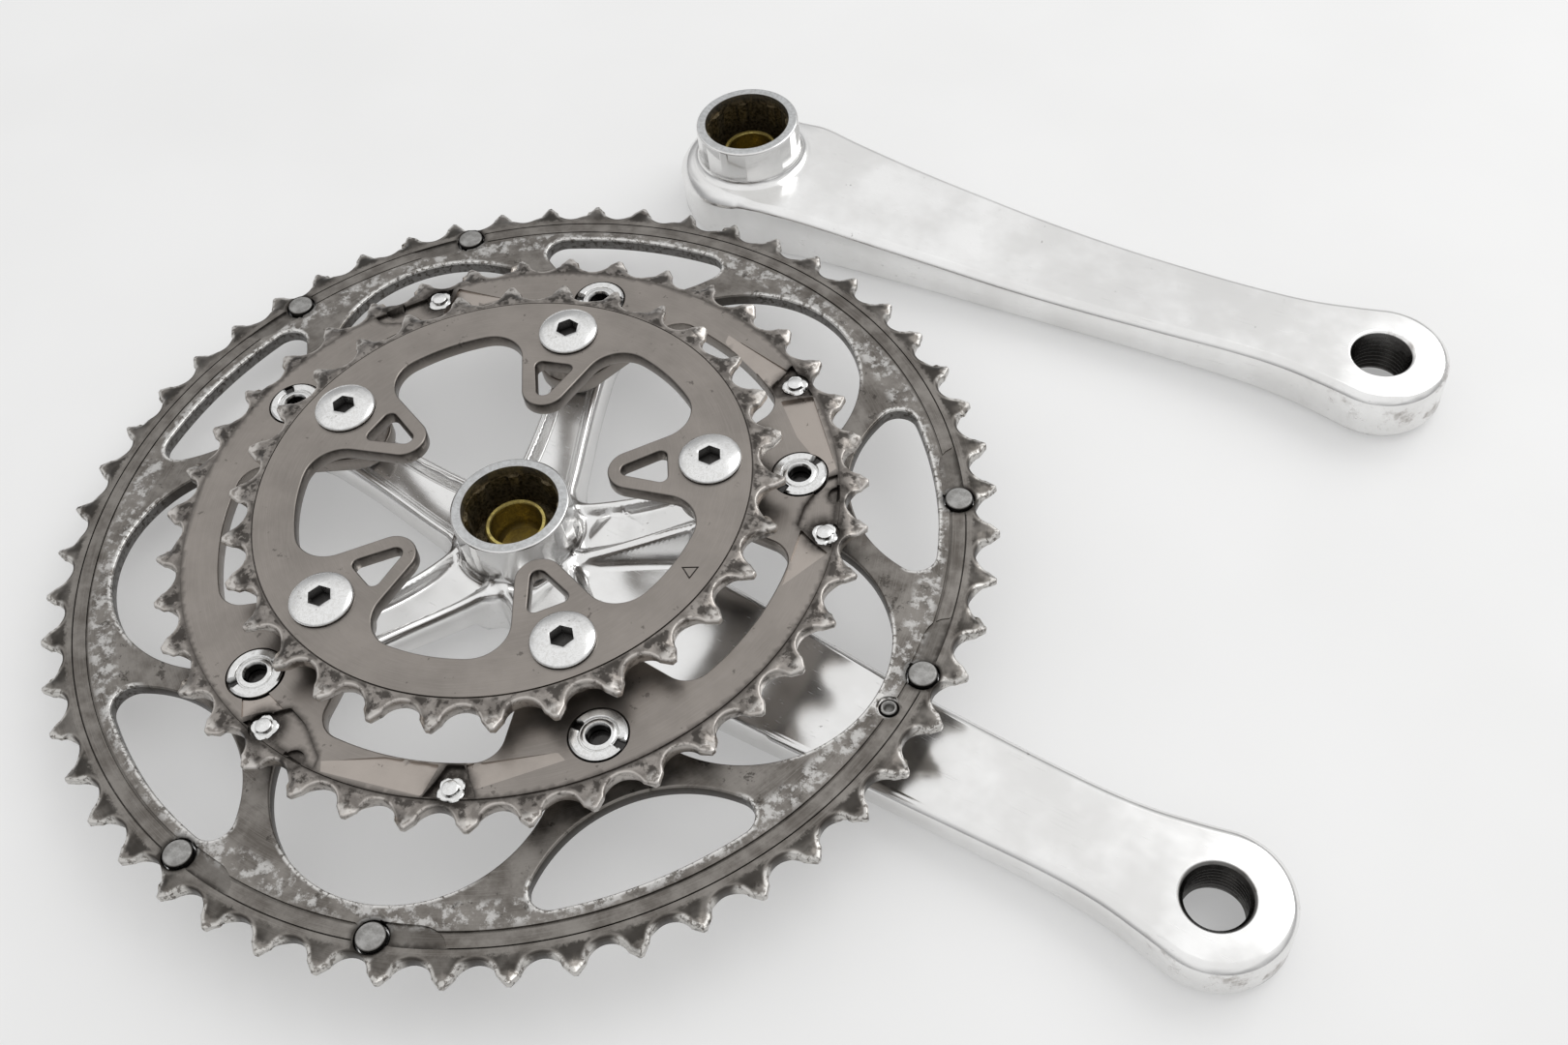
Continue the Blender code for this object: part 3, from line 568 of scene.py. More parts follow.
def outer_top(p):
    radius = np.abs(p)
    z = np.full(len(p), OUTER_RING[1])
    z -= 0.3 * rise(radius, GROOVE[0]) * (1 - rise(radius, GROOVE[1]))
    z -= BAND_FLOOR * rise(radius, GROOVE[0])
    z -= 0.28 * rise(radius, FINE_LINE[0]) * (1 - rise(radius, FINE_LINE[1]))
    for angle in OUTER_PIN_ANGLES:
        past = degrees_past(p, angle)
        in_ramp = ((past > -0.5) & (past < RAMP_LENGTH) & (radius > ramp_inner_edge(past))
                   & (radius < FINE_LINE[0]))
        ramp = OUTER_RING[1] - 0.75 + 0.3 * past / RAMP_LENGTH
        z = np.where(in_ramp, ramp, z)
    near_drop_pin = np.abs(p - DROP_PIN_CIRCLE) < 2.6
    z = np.where(near_drop_pin, OUTER_RING[1] - 0.5, z)
    return z - tooth_relief(p, OUTER_TEETH, OUTER_FIRST_TOOTH, *OUTER_TOOTH_ZONE, 0.6, 3)


def outer_bottom(p):
    z = np.full(len(p), OUTER_RING[0])
    for angle in BOLT_ANGLES:
        seat = rise(np.abs(p - polar(OUTER_BOLT_RADIUS, angle)), COUNTERBORE_RADIUS)
        z += COUNTERBORE_DEPTH * (1 - seat)
    return z + tooth_relief(p, OUTER_TEETH, OUTER_FIRST_TOOTH, *OUTER_TOOTH_ZONE, 0.85, 4)


def outer_lines():
    lines = circle_lines(GROOVE[0]) + circle_lines(GROOVE[1])
    lines += circle_lines(FINE_LINE[0]) + circle_lines(FINE_LINE[1])
    lines += [circle(0, OUTER_TOOTH_ZONE[0], 700), circle(0, 102.0, 700)]
    past = np.linspace(0, RAMP_LENGTH - 0.02, 26)
    for angle in OUTER_PIN_ANGLES:
        edge = polar(ramp_inner_edge(past), angle + np.radians(past))
        lines += step_lines(edge, closed=False)
    lines += step_lines(circle(DROP_PIN_CIRCLE, 2.6, 30))
    return lines


def counterbore_lines():
    edges = circles(OUTER_BOLT_RADIUS, BOLT_ANGLES, COUNTERBORE_RADIUS, 48)
    return [line for edge in edges for line in step_lines(edge)]


PINS_WITH_POCKET = (0, 2, 3)
STEEP_DEPTH = 0.6                   # facets that start deeper than this have steep sides
# Ground facets beside a pin: corners (degrees past the pin, radius), depth at the start and end.
POCKET_FACETS = [
    ([(-3.2, 73.4), (-1.6, 69.4), (1.2, 64.9), (5.8, 65.9), (12.2, 70.6), (12.8, 73.4)], 0.95, 0.65),
    ([(-13, 66.2), (-4.2, 72.9), (-2.4, 69.4), (0.2, 66.0)], 0.1, 0.8),
]
PLAIN_FACETS = [
    ([(-23, 71.2), (-13, 66.1), (-2.8, 66.1), (-4.4, 73.2), (-22, 73.2)], 0.0, 0.9),
    ([(-4.2, 73.4), (-2.6, 69.5), (-1.4, 66.0), (1.6, 66.0), (4.4, 73.4)], 1.1, 1.1),
    ([(3.4, 71.8), (19, 68.2), (18, 66.0), (2.0, 66.0)], 0.5, 0.05),
]


def facets_of_pins():
    """Outline, depth at its start, depth at its end and pin angle of every ground facet."""
    facets = []
    for i, angle in enumerate(MIDDLE_PIN_ANGLES):
        for corners, first, last in POCKET_FACETS if i in PINS_WITH_POCKET else PLAIN_FACETS:
            outline = [polar(radius, angle + math.radians(past)) for past, radius in corners]
            facets.append((outline, first, last, angle))
    for i in PINS_WITH_POCKET:
        place = polar(73.4, MIDDLE_PIN_ANGLES[i] + math.radians(8.6))
        facets.append((list(circle(place, 2.4, 22)), 1.5, 1.5, MIDDLE_PIN_ANGLES[i]))
    return facets


MIDDLE_FACETS = facets_of_pins()
MIDDLE_STEP = 73.7
BOSS_RADII = (7.0, 7.2, 7.9, 8.1)


def facet_depth(p):
    """Depth of the ground pockets at each point."""
    depth = np.zeros(len(p))
    for outline, first, last, angle in MIDDLE_FACETS:
        corners = np.array(outline)
        past = degrees_past(p, angle)
        ends = degrees_past(corners, angle)
        t = np.clip((past - ends.min()) / (ends.max() - ends.min()), 0, 1)
        depth = np.where(inside([corners], p), np.maximum(depth, first + (last - first) * t), depth)
    return depth


def middle_top(p):
    radius = np.abs(p)
    z = MIDDLE_RING[1] - 0.35 * rise(radius, MIDDLE_STEP)
    z -= facet_depth(p) * (1 - rise(radius, MIDDLE_STEP - 0.2))
    for angle in BOLT_ANGLES:
        seat = np.abs(p - polar(OUTER_BOLT_RADIUS, angle))
        sunk = z - COUNTERBORE_DEPTH * (1 - rise(seat, COUNTERBORE_RADIUS))
        sunk = np.maximum(MIDDLE_RING[1] - COUNTERBORE_DEPTH, sunk)
        z = np.where(seat < COUNTERBORE_RADIUS + 0.03, sunk, z)
        boss = np.abs(p - polar(INNER_BOLT_RADIUS, angle))
        z = np.maximum(z, np.interp(boss, BOSS_RADII, [BOSS_TOP, BOSS_TOP - 0.2, MIDDLE_RING[1] + 0.05, 0]))
    for angle in MIDDLE_PIN_ANGLES:
        spot = 1 - rise(np.abs(p - polar(MIDDLE_PIN_CIRCLE, angle)), PIN_SEAT_RADIUS)
        z = np.where(spot > 0, np.minimum(z, MIDDLE_RING[1] - PIN_SEAT_DEPTH * spot), z)
    return z - tooth_relief(p, MIDDLE_TEETH, MIDDLE_FIRST_TOOTH, *MIDDLE_TOOTH_ZONE, 0.6, 5)


def middle_bottom(p):
    relief = tooth_relief(p, MIDDLE_TEETH, MIDDLE_FIRST_TOOTH, *MIDDLE_TOOTH_ZONE, 0.9, 6)
    return MIDDLE_RING[0] + 0.15 * rise(np.abs(p), MIDDLE_STEP) + relief


def middle_lines():
    lines = circle_lines(MIDDLE_STEP) + [circle(0, MIDDLE_TOOTH_ZONE[0], 480)]
    for outline, _, _, _ in MIDDLE_FACETS:
        lines += step_lines(resampled(np.array(outline), 0.6))
    for edge in circles(MIDDLE_PIN_CIRCLE, MIDDLE_PIN_ANGLES, PIN_SEAT_RADIUS, 36):
        lines += step_lines(edge)
    for angle in BOLT_ANGLES:
        lines += step_lines(circle(polar(OUTER_BOLT_RADIUS, angle), COUNTERBORE_RADIUS, 48))
        lines += [circle(polar(INNER_BOLT_RADIUS, angle), radius, 48) for radius in BOSS_RADII]
    return lines


INNER_STEP = (55.1, 55.35)
MARK_PLACE = 50.2


def mark_loop(size):
    """The small engraved triangle that shows which way round the inner ring goes."""
    return resampled(MARK_PLACE + size * np.exp(1j * (math.pi + np.arange(3) * TAU / 3)), 0.3)


def inner_top(p):
    radius = np.abs(p)
    z = INNER_RING[1] - 0.12 * rise(radius, INNER_STEP[1])
    z -= 0.3 * rise(radius, INNER_STEP[0]) * (1 - rise(radius, INNER_STEP[1]))
    z -= np.where(inside([mark_loop(2.15)], p) & ~inside([mark_loop(1.6)], p), 0.22, 0)
    return z - tooth_relief(p, INNER_TEETH, INNER_FIRST_TOOTH, *INNER_TOOTH_ZONE, 0.7, 7)


def inner_bottom(p):
    return INNER_RING[0] + tooth_relief(p, INNER_TEETH, INNER_FIRST_TOOTH, *INNER_TOOTH_ZONE, 0.75, 8)


def make_outer_ring(worn):
    window = window_loop(rim_radius=95, round_centre=105.6, round_radius=30, fillet=4.5)
    loops = [tooth_loop(OUTER_TEETH, 1.3, 1.5, OUTER_FIRST_TOOTH),
             leg_loop(arch_centre=63.3, arch_radius=30, end_radius=9.7)]
    loops += [turn(window, angle) for angle in BOLT_ANGLES]
    loops += circles(OUTER_BOLT_RADIUS, BOLT_ANGLES, SLEEVE_HOLE, 40)
    loops += circles(OUTER_PIN_CIRCLE, OUTER_PIN_ANGLES, OUTER_PIN_RADIUS + GAP, 40)
    loops += [circle(DROP_PIN_CIRCLE, DROP_PIN_RADIUS + GAP, 24)]
    ring = field_solid("outer_chainring_worn", loops, outer_top, outer_bottom, 1.15, [RING_EDGE],
                       [RING_EDGE], outer_lines(),
                       [circle(0, OUTER_TOOTH_ZONE[0], 700)] + counterbore_lines())
    piece = add_piece(ring, worn, "drive_side", DRIVE, ["outer_chainring"])
    paint(piece, soil=outer_soil)


def make_middle_ring(taupe):
    loops = [tooth_loop(MIDDLE_TEETH, 1.2, 1.6, MIDDLE_FIRST_TOOTH),
             lobed_loop(65.3, INNER_BOLT_RADIUS, 8.5, math.radians(33), fillet=6)]
    loops += circles(OUTER_BOLT_RADIUS, BOLT_ANGLES, SLEEVE_HOLE, 40)
    loops += circles(MIDDLE_PIN_CIRCLE, MIDDLE_PIN_ANGLES, MIDDLE_PIN_RADIUS + GAP, 28)
    loops += circles(INNER_BOLT_RADIUS, BOLT_ANGLES, SCREW_HOLE, 32)
    ring = field_solid("middle_chainring_worn", loops, middle_top, middle_bottom, 1.05, [RING_EDGE],
                       [RING_EDGE], middle_lines(),
                       [circle(0, MIDDLE_TOOTH_ZONE[0], 480)] + circle_lines(MIDDLE_STEP))
    piece = add_piece(ring, taupe, "drive_side", DRIVE, ["middle_chainring"])
    paint(piece, soil=middle_soil, toothed=toothed(73.9, 80.1), bare=middle_bare)


def make_inner_ring(taupe):
    slot = hull(np.concatenate([circle(28.0, 1.7, 40), circle(35.0 + 2.9j, 1.5, 40),
                                circle(35.0 - 2.9j, 1.5, 40)]))
    slot = resampled(slot, 0.5)
    loops = [tooth_loop(INNER_TEETH, 1.6, 1.7, INNER_FIRST_TOOTH),
             lobed_loop(45.8, 28.6, 5.3, math.radians(19.5), fillet=8)]
    loops += [turn(slot, angle) for angle in BOLT_ANGLES]
    loops += circles(INNER_BOLT_RADIUS, BOLT_ANGLES, SCREW_HOLE, 32)
    lines = circle_lines(INNER_STEP[0]) + circle_lines(INNER_STEP[1]) + [circle(0, INNER_TOOTH_ZONE[0], 360)]
    lines += step_lines(mark_loop(2.15), 0.05) + step_lines(mark_loop(1.6), 0.05)
    ring = field_solid("inner_chainring_worn", loops, inner_top, inner_bottom, 1.05, [RING_EDGE],
                       [RING_EDGE], lines, [circle(0, INNER_TOOTH_ZONE[0], 360)])
    piece = add_piece(ring, taupe, "drive_side", DRIVE, ["inner_chainring"])
    paint(piece, soil=inner_soil, toothed=toothed(55.4, 62.4))


# ---- forgings ----------------------------------------------------------------------------
# Stations along the arm: distance from the hub axis, half width, and depth of the inner
# face below the hub rim.
ARM_STATIONS = [
    (14, 18.2, 11.2), (24, 17.0, 12.5), (42, 15.6, 15.0), (61, 14.5, 17.2), (80, 13.6, 19.2),
    (100, 12.7, 20.4), (120, 12.0, 20.8), (138, 11.7, 20.8), (150, 12.3, 20.8), (160, 14.0, 20.8),
]
HUB_END_RADIUS = 19.3
EYE_RADIUS = 15.8
HUB_DEPTH = 10.8
HUB_RADIUS = 13.5
COLLAR_WALL = 0.05
RIM_ROUNDING = 0.6
DRIVE_FILLET = 2.6
FILLET_LINES = (0, 0.04, 0.12, 0.25, 0.45, 0.7, 1)
LEFT_FILLET = 2.2
MOUTH_RADIUS = 11.05
GROOVE_RADIUS = 10.85
LAND_RADIUS = 10.1
LAND_DEPTH = 2.7
BOLT_HOLE = 7.8
PEDAL_HOLE = 7.06
PEDAL_SEAT_RADIUS = 10.5
PEDAL_EYE_DEPTH = 20.8
RECESS_RADIUS = 11.0
THREAD_PITCH = 1.27
THREAD_DEPTH = 0.6
THREAD_START = 0.8
TOP_BEVEL = [(0, 1.8), (0.15, 1.4), (0.55, 0.88), (1.15, 0.35), (1.8, 0.06), (2.3, 0)]
UNDER_ROUNDING = [(0, 3.0), (0.2, 2.25), (0.7, 1.3), (1.5, 0.55), (2.5, 0.12), (3.4, 0)]
HOLE_EDGE = [(0, 0.35), (0.35, 0)]


def arm_half_line():
    """Half of the arm's outline, from the hub end to the pedal end."""
    stations = np.array([x + 1j * y for x, y, _ in ARM_STATIONS])
    hub = arc(0, HUB_END_RADIUS, math.pi, math.radians(72), 18)
    eye = arc(CRANK_LENGTH, EYE_RADIUS, math.radians(106), 0, 18)
    return curved(np.concatenate([hub, stations, eye]), 8)


def arm_loop():
    half = arm_half_line()
    return resampled(np.concatenate([half, np.conj(half[1:-1][::-1])]), 0.75)


def arm_curve(stations, column):
    """One column of a list of stations, as a smooth line along the arm."""
    return curved(np.array([row[0] + 1j * row[column] for row in stations]), 12)


DEPTH_LINE = arm_curve([(0, 0, HUB_DEPTH)] + ARM_STATIONS + [(CRANK_LENGTH + 20, 0, PEDAL_EYE_DEPTH)], 2)
WIDTH_LINE = arm_curve([(0, 18.6)] + ARM_STATIONS, 1)


def arm_level(p, rim):
    return rim - np.interp(p.real, DEPTH_LINE.real, DEPTH_LINE.imag)


def with_collar(p, floor, rim, fillet):
    """Raises the hub's round collar out of a height field, with a fillet at its foot."""
    radius = np.abs(p)
    past = np.clip(radius - HUB_RADIUS - COLLAR_WALL, 0, fillet)
    foot = floor + fillet - np.sqrt(fillet ** 2 - (fillet - past) ** 2)
    worn = np.clip((radius - HUB_RADIUS + RIM_ROUNDING) / RIM_ROUNDING, 0, 1)
    top = rim - RIM_ROUNDING * (1 - np.sqrt(1 - np.minimum(worn, 0.98) ** 2))
    return np.where(radius < HUB_RADIUS + 0.01, top, foot)


def spline_loop():
    groove = TAU / 8
    parts = []
    for i in range(8):
        parts.append(arc(0, GROOVE_RADIUS, i * groove, (i + 0.62) * groove, 8))
        parts.append(arc(0, LAND_RADIUS, (i + 0.68) * groove, (i + 0.94) * groove, 4))
    return resampled(np.concatenate(parts), 0.5)


SPLINES = spline_loop()


def with_bore(p, z, rim):
    """Sinks the mouth and the splined bore into a height field."""
    radius = np.abs(p)
    land = rim - LAND_DEPTH
    z = np.where(radius < MOUTH_RADIUS, land, z)
    return np.where(inside([SPLINES], p), SHELF_TOP, z)


def bore_lines():
    rim = [HUB_RADIUS - RIM_ROUNDING * share for share in (1, 0.7, 0.4, 0.2, 0)]
    foot = [HUB_RADIUS + COLLAR_WALL + DRIVE_FILLET * share for share in FILLET_LINES]
    return step_lines(SPLINES) + step_lines(circle(0, MOUTH_RADIUS, 110)) + [
        circle(0, radius, 150) for radius in rim + foot]


PEDAL_SEAT = -SLOPE * (CRANK_LENGTH - PEDAL_SEAT_RADIUS) + GAP


def arm_bottom(p):
    z = -SLOPE * p.real
    z = np.where(np.abs(p - CRANK_LENGTH) < PEDAL_SEAT_RADIUS, PEDAL_SEAT, z)
    return np.where(np.abs(p) < RECESS_RADIUS, RECESS_DEPTH, z)


def bottom_lines():
    return step_lines(circle(0, RECESS_RADIUS, 90)) + step_lines(circle(CRANK_LENGTH, PEDAL_SEAT_RADIUS, 80))


def thread_rows(rim):
    """Crests and roots of the pedal thread down the hole's wall, as (inset, level)."""
    top = rim - PEDAL_EYE_DEPTH
    count = int((top - PEDAL_SEAT - 2 * THREAD_START) / THREAD_PITCH)
    rows = []
    for i in range(count):
        level = top - THREAD_START - i * THREAD_PITCH
        root = -THREAD_DEPTH
        rows += [(0.0, level), (0.0, level - 0.16), (root, level - THREAD_PITCH / 2), (root, level - 0.78)]
    return rows + [(0.0, top - THREAD_START - count * THREAD_PITCH)]


def left_top(p):
    shoulder = 2.2 * eased(np.abs(p), 15.5, HUB_END_RADIUS + 1) * eased(-p.real, -14, 4)
    z = with_collar(p, arm_level(p, LEFT_RIM) - shoulder, LEFT_RIM, LEFT_FILLET)
    return with_bore(p, z, LEFT_RIM)


# Along a spider arm: distance from the axis, half width, low level, high level, channel depth.
SPIDER_SECTIONS = [
    (4, 10.0, 3.0, 13.3, 0.2), (12, 9.4, 3.4, 13.3, 1.0), (20, 8.6, 4.8, 13.8, 2.2),
    (28, 7.9, 6.6, 15.2, 2.4), (36, 7.4, 8.8, 17.1, 2.1), (44, 7.2, 10.6, 19.0, 1.5),
    (50, 7.2, 12.2, 20.2, 0.5), (54, 7.5, 12.9, 20.5, 0.0), (63, 8.3, 16.6, 20.5, 0.0),
    (80, 8.3, 16.6, 20.5, 0.0),
]
SPIDER_PAD = (55.0, 16.6)           # the arm's end: where it starts and its lowest level
SPIDER_END = 64.6
SPIDER_END_RADIUS = 8.2
RIDGE_WIDTH = 2.3
EDGE_WIDTH = 0.9
EDGE_BEND = 0.4
WEB_RADIUS = 16.8
STAR_RADIUS = 76.0                  # beyond this the forging is the crank arm alone
ARM_ROOT = 15.0                     # the crank arm fades into the hub below this distance
ARM_SINK = 2.6                      # how far its top is sunk between the spider arms
ARM_SHARE_START = 60.0              # beyond this distance the star's outline is the arm's alone
LIP_DROP = 0.35


def spider_curve(column):
    return curved(np.array([row[0] + 1j * row[column] for row in SPIDER_SECTIONS]), 10)


SPIDER_HALF, SPIDER_LOW, SPIDER_HIGH, SPIDER_CHANNEL = (spider_curve(c) for c in (1, 2, 3, 4))


def along(curve, places):
    return np.interp(places, curve.real, curve.imag)


def spider_distance(p):
    """Rough distance outside the nearest spider arm's plan, negative inside."""
    best = np.full(len(p), 99.0)
    for angle in BOLT_ANGLES:
        q = turn(p, -angle)
        side = np.where(q.real > 0, np.abs(q.imag) - along(SPIDER_HALF, q.real), 99)
        end = np.abs(q - SPIDER_END) - SPIDER_END_RADIUS
        one = np.where(q.real > SPIDER_END, end, side)
        best = -soft_max(-best, -one, 4.5)
    return best


def star_distance(p):
    arm = np.abs(p.imag) - along(WIDTH_LINE, p.real) + 0.12 * np.maximum(ARM_ROOT - p.real, 0) ** 2
    joined = -soft_max(-spider_distance(p), -arm, 4.5)
    return -soft_max(-joined, WEB_RADIUS - np.abs(p), 2.5)


def star_loop():
    """Plan outline of the drive-side forging: spider arms, webs and crank arm."""
    arm = arm_loop()[::-1]
    arm = arm[arm.real > ARM_SHARE_START]
    corner = ARM_SHARE_START + 1j * along(WIDTH_LINE, ARM_SHARE_START)
    bearings = np.linspace(np.angle(corner), TAU - np.angle(corner), 5200)
    radii = np.arange(13.0, STAR_RADIUS, 0.25)
    places = radii[None, :] * np.exp(1j * bearings[:, None])
    field = star_distance(places.ravel()).reshape(places.shape)
    last = field.shape[1] - 1 - np.argmax(field[:, ::-1] < 0, axis=1)
    last = np.minimum(last, field.shape[1] - 2)
    row = np.arange(len(bearings))
    a, b = field[row, last], field[row, last + 1]
    edge = (radii[last] + 0.25 * a / (a - b)) * np.exp(1j * bearings)
    return resampled(np.concatenate([arm, edge]), 0.7)


def spider_top(p):
    """Spider arms with a raised lip along their outline and a channel down the middle."""
    deep = -spider_distance(p)
    out = np.max([turn(p, -angle).real for angle in BOLT_ANGLES], axis=0)
    off_ridge = np.clip((deep - EDGE_WIDTH - RIDGE_WIDTH / 2) / (RIDGE_WIDTH / 2), -1, 1)
    lip = LIP_DROP * np.sin(math.pi / 2 * off_ridge) ** 2
    in_channel = eased(deep, EDGE_WIDTH + RIDGE_WIDTH * 0.75, EDGE_WIDTH + RIDGE_WIDTH + 1.4)
    sunk = along(SPIDER_CHANNEL, out) * in_channel
    outside = np.maximum(EDGE_WIDTH + EDGE_BEND - deep, 0)
    fall = np.where(outside < 2 * EDGE_BEND, outside ** 2 / (4 * EDGE_BEND), outside - EDGE_BEND)
    return along(SPIDER_HIGH, out) - lip - sunk - 2.2 * fall


def drive_top(p):
    arm_edge = np.maximum(np.abs(p.imag) - along(WIDTH_LINE, p.real) + 0.5, 0)
    sunk = ARM_SINK * eased(p.real, 62, 20) + 0.25 * np.maximum(ARM_ROOT - p.real, 0) ** 2
    arm = arm_level(p, DRIVE_RIM) - sunk - 2.5 * arm_edge
    z = soft_max(spider_top(p), arm, 3.0)
    z = np.where(np.abs(p) < STAR_RADIUS, z, arm_level(p, DRIVE_RIM))
    z = with_collar(p, z, DRIVE_RIM, DRIVE_FILLET)
    return with_bore(p, z, DRIVE_RIM)


def drive_bottom(p):
    low = np.full(len(p), 90.0)
    for angle in BOLT_ANGLES:
        q = turn(p, -angle)
        u, v = q.real, np.abs(q.imag)
        z = np.maximum(along(SPIDER_LOW, u), np.where(u > SPIDER_PAD[0], SPIDER_PAD[1], 0))
        z = z + 2 * np.maximum(v - along(SPIDER_HALF, u), 0)
        low = -soft_max(-low, -np.where(u > 0, z, 90), 2.0)
    hub = 2.0 * np.maximum(np.abs(p) - 17.0, 0)
    low = -soft_max(-low, -hub, 2.5)
    floor = -SLOPE * p.real
    beside = 2.5 * np.maximum(np.abs(p.imag) - along(WIDTH_LINE, p.real), 0)
    arm = floor + np.where(p.real > 0, beside, 90)
    low = -soft_max(-low, -arm, 2.0)
    low = np.where(np.abs(p) < STAR_RADIUS, np.maximum(low, floor), floor)
    flat = arm_bottom(p)
    cut = (np.abs(p) < RECESS_RADIUS) | (np.abs(p - CRANK_LENGTH) < PEDAL_SEAT_RADIUS)
    return np.where(cut, flat, low)


def drive_share(p):
    """Edges are full on the crank arm and slighter on the spider's thin ends."""
    on_arm = (p.real > 20) & (np.abs(p.imag) < along(WIDTH_LINE, p.real) + 1.5) | (p.real > STAR_RADIUS)
    reach = np.abs(p)
    return np.where(on_arm, 1.0, np.interp(reach, [18, 48, 56, 80], [0.9, 0.7, 0.3, 0.3]))


def spider_lines():
    u = np.arange(17.0, 56.0, 0.6)
    half = along(SPIDER_HALF, u)
    ridge = half - EDGE_WIDTH - RIDGE_WIDTH
    lines = []
    for angle in BOLT_ANGLES:
        for offset in (ridge, ridge - 0.5, ridge - 1.0, ridge - 1.5):
            lines += [turn(u + 1j * side * offset, angle) for side in (-1, 1)]
    return lines


def make_forgings(polished):
    eye = circle(CRANK_LENGTH, PEDAL_HOLE, 64)
    bolt_hole = circle(0, BOLT_HOLE, 56)
    eye_edge = [(0, 0.7), (0.1, 0.6), (0.7, 0)]
    mesh = field_solid("left_crank_arm_polished", [arm_loop(), bolt_hole, eye], left_top, arm_bottom, 1.3,
                       [TOP_BEVEL, HOLE_EDGE, eye_edge], [UNDER_ROUNDING, HOLE_EDGE],
                       bore_lines(), bottom_lines(), walls={2: thread_rows(LEFT_RIM)}, reach=0.1)
    add_piece(mesh, polished, "left_arm", LEFT, ["left_crank_arm"], 58)
    sleeves = circles(OUTER_BOLT_RADIUS, BOLT_ANGLES, SLEEVE_HOLE, 36)
    mesh = field_solid("right_crank_arm_polished", [star_loop(), bolt_hole, eye] + sleeves, drive_top,
                       drive_bottom, 1.05, [TOP_BEVEL, HOLE_EDGE, eye_edge, HOLE_EDGE],
                       [UNDER_ROUNDING, HOLE_EDGE], bore_lines() + spider_lines(), bottom_lines(),
                       drive_share, {2: thread_rows(DRIVE_RIM)}, fine=(56, 0.5), reach=0.1)
    add_piece(mesh, polished, "drive_side", DRIVE, ["right_crank_arm"], 58)


# ---- fasteners and pins ------------------------------------------------------------------
def at(place, angle=0.0):
    """Matrix that stands a piece at a plane point of the drive side's frame."""
    return (DRIVE @ Matrix.Translation((place.real * MM, place.imag * MM, 0))
            @ Matrix.Rotation(angle, 4, "Z"))


def screw_mesh(name):
    """Domed inner-ring screw with a hexagon socket."""
    seat = INNER_RING[1] + GAP
    crown = SCREW_CROWN
    profile = [(0, crown - 2.8), (2.75, crown - 2.75), (2.75, crown - 0.16), (3.05, crown),
               (3.45, crown), (4.6, crown - 0.2), (5.8, crown - 0.5), (6.6, crown - 0.8),
               (6.92, seat + 0.5), (7.0, seat + 0.3), (6.9, seat), (3.9, seat), (3.9, 21.9),
               (3.6, 21.6), (0, 21.6)]
    return lathe(name, profile, 72, hexagon=(1, 2), soiled=(3.1, crown - 1))


def nut_mesh(name):
    """Slotted sleeve nut: a flat head with a raised lip round its bore."""
    floor = MIDDLE_RING[1] - COUNTERBORE_DEPTH + GAP
    top = NUT_FACE
    profile = [(2.3, top - 2.35), (2.3, top - 0.62), (2.7, top - 0.05), (3.4, top - 0.05),
               (3.65, top - 0.2), (3.75, top - 0.45), (3.95, top - 0.45), (4.1, top - 0.12),
               (4.25, top), (5.6, top), (6.0, top - 0.35), (6.0, floor), (4.95, floor),
               (4.95, 14.6), (4.2, 14.6), (4.2, top - 2.45)]

    def slot(row, radii, heights, angles):
        in_slot = (np.abs(radii * np.sin(angles)) < 0.95) & (7 <= row <= 10)
        return radii, np.where(in_slot, top - 0.95 - 0.01 * row, heights)

    return lathe(name, profile, 96, wobble=slot, soiled=(6.1, top - 0.6))


def bolt_mesh(name):
    """Outer bolt of the double ring fixing, its head on the hidden side."""
    head = OUTER_RING[0] + COUNTERBORE_DEPTH - GAP
    profile = [(0, 22.6), (3.6, 22.6), (3.9, 22.3), (3.9, head), (5.9, head), (6.0, head - 0.1),
               (6.0, head - 1.1), (5.6, head - 1.55), (5.0, head - 1.7), (2.9, head - 1.7),
               (2.55, head - 1.5), (2.55, head + 1.2), (0, head + 1.2)]
    return lathe(name, profile, 72, hexagon=(10, 11), soiled=(3.95, 23))


def outer_pin_mesh(name):
    low, high = OUTER_RING
    profile = [(0, high + 0.42), (2.5, high + 0.42), (2.85, high + 0.36), (3.05, high + 0.18),
               (3.1, high - 0.1), (3.1, low + 0.5), (3.0, low + 0.4), (0, low + 0.4)]
    return lathe(name, profile, 48)


def middle_pin_mesh(name):
    """Rivet whose head has been staked at four places."""
    low, high = MIDDLE_RING
    seat = high - PIN_SEAT_DEPTH
    profile = [(0, high + 0.45), (1.45, high + 0.45), (1.7, high + 0.3), (1.8, high - 0.15),
               (1.95, seat + 0.5), (2.3, seat + 0.62), (2.8, seat + 0.55), (3.1, seat + 0.3),
               (3.1, seat + 0.05), (2.1, seat + 0.03), (2.1, low + 0.35), (0, low + 0.35)]

    def staked(row, radii, heights, angles):
        lobes = np.abs(np.cos(2 * angles + 0.35 * np.sin(angles)))
        if 5 <= row <= 8:
            radii = radii * (0.82 + 0.18 * lobes)
            heights = heights - 0.2 * (1 - lobes) * (row < 8)
        return radii, heights

    return lathe(name, profile, 64, wobble=staked)


def drop_pin_mesh(name):
    low, high = OUTER_RING
    profile = [(0, high - 1.8), (0.9, high - 1.8), (1.0, high - 0.45), (1.25, high - 0.15),
               (1.55, high - 0.15), (1.7, high - 0.35), (1.7, low - GAP), (3.0, low - GAP),
               (3.0, 6.6), (2.8, 6.1), (2.4, 5.8), (0, 5.8)]
    return lathe(name, profile, 40)


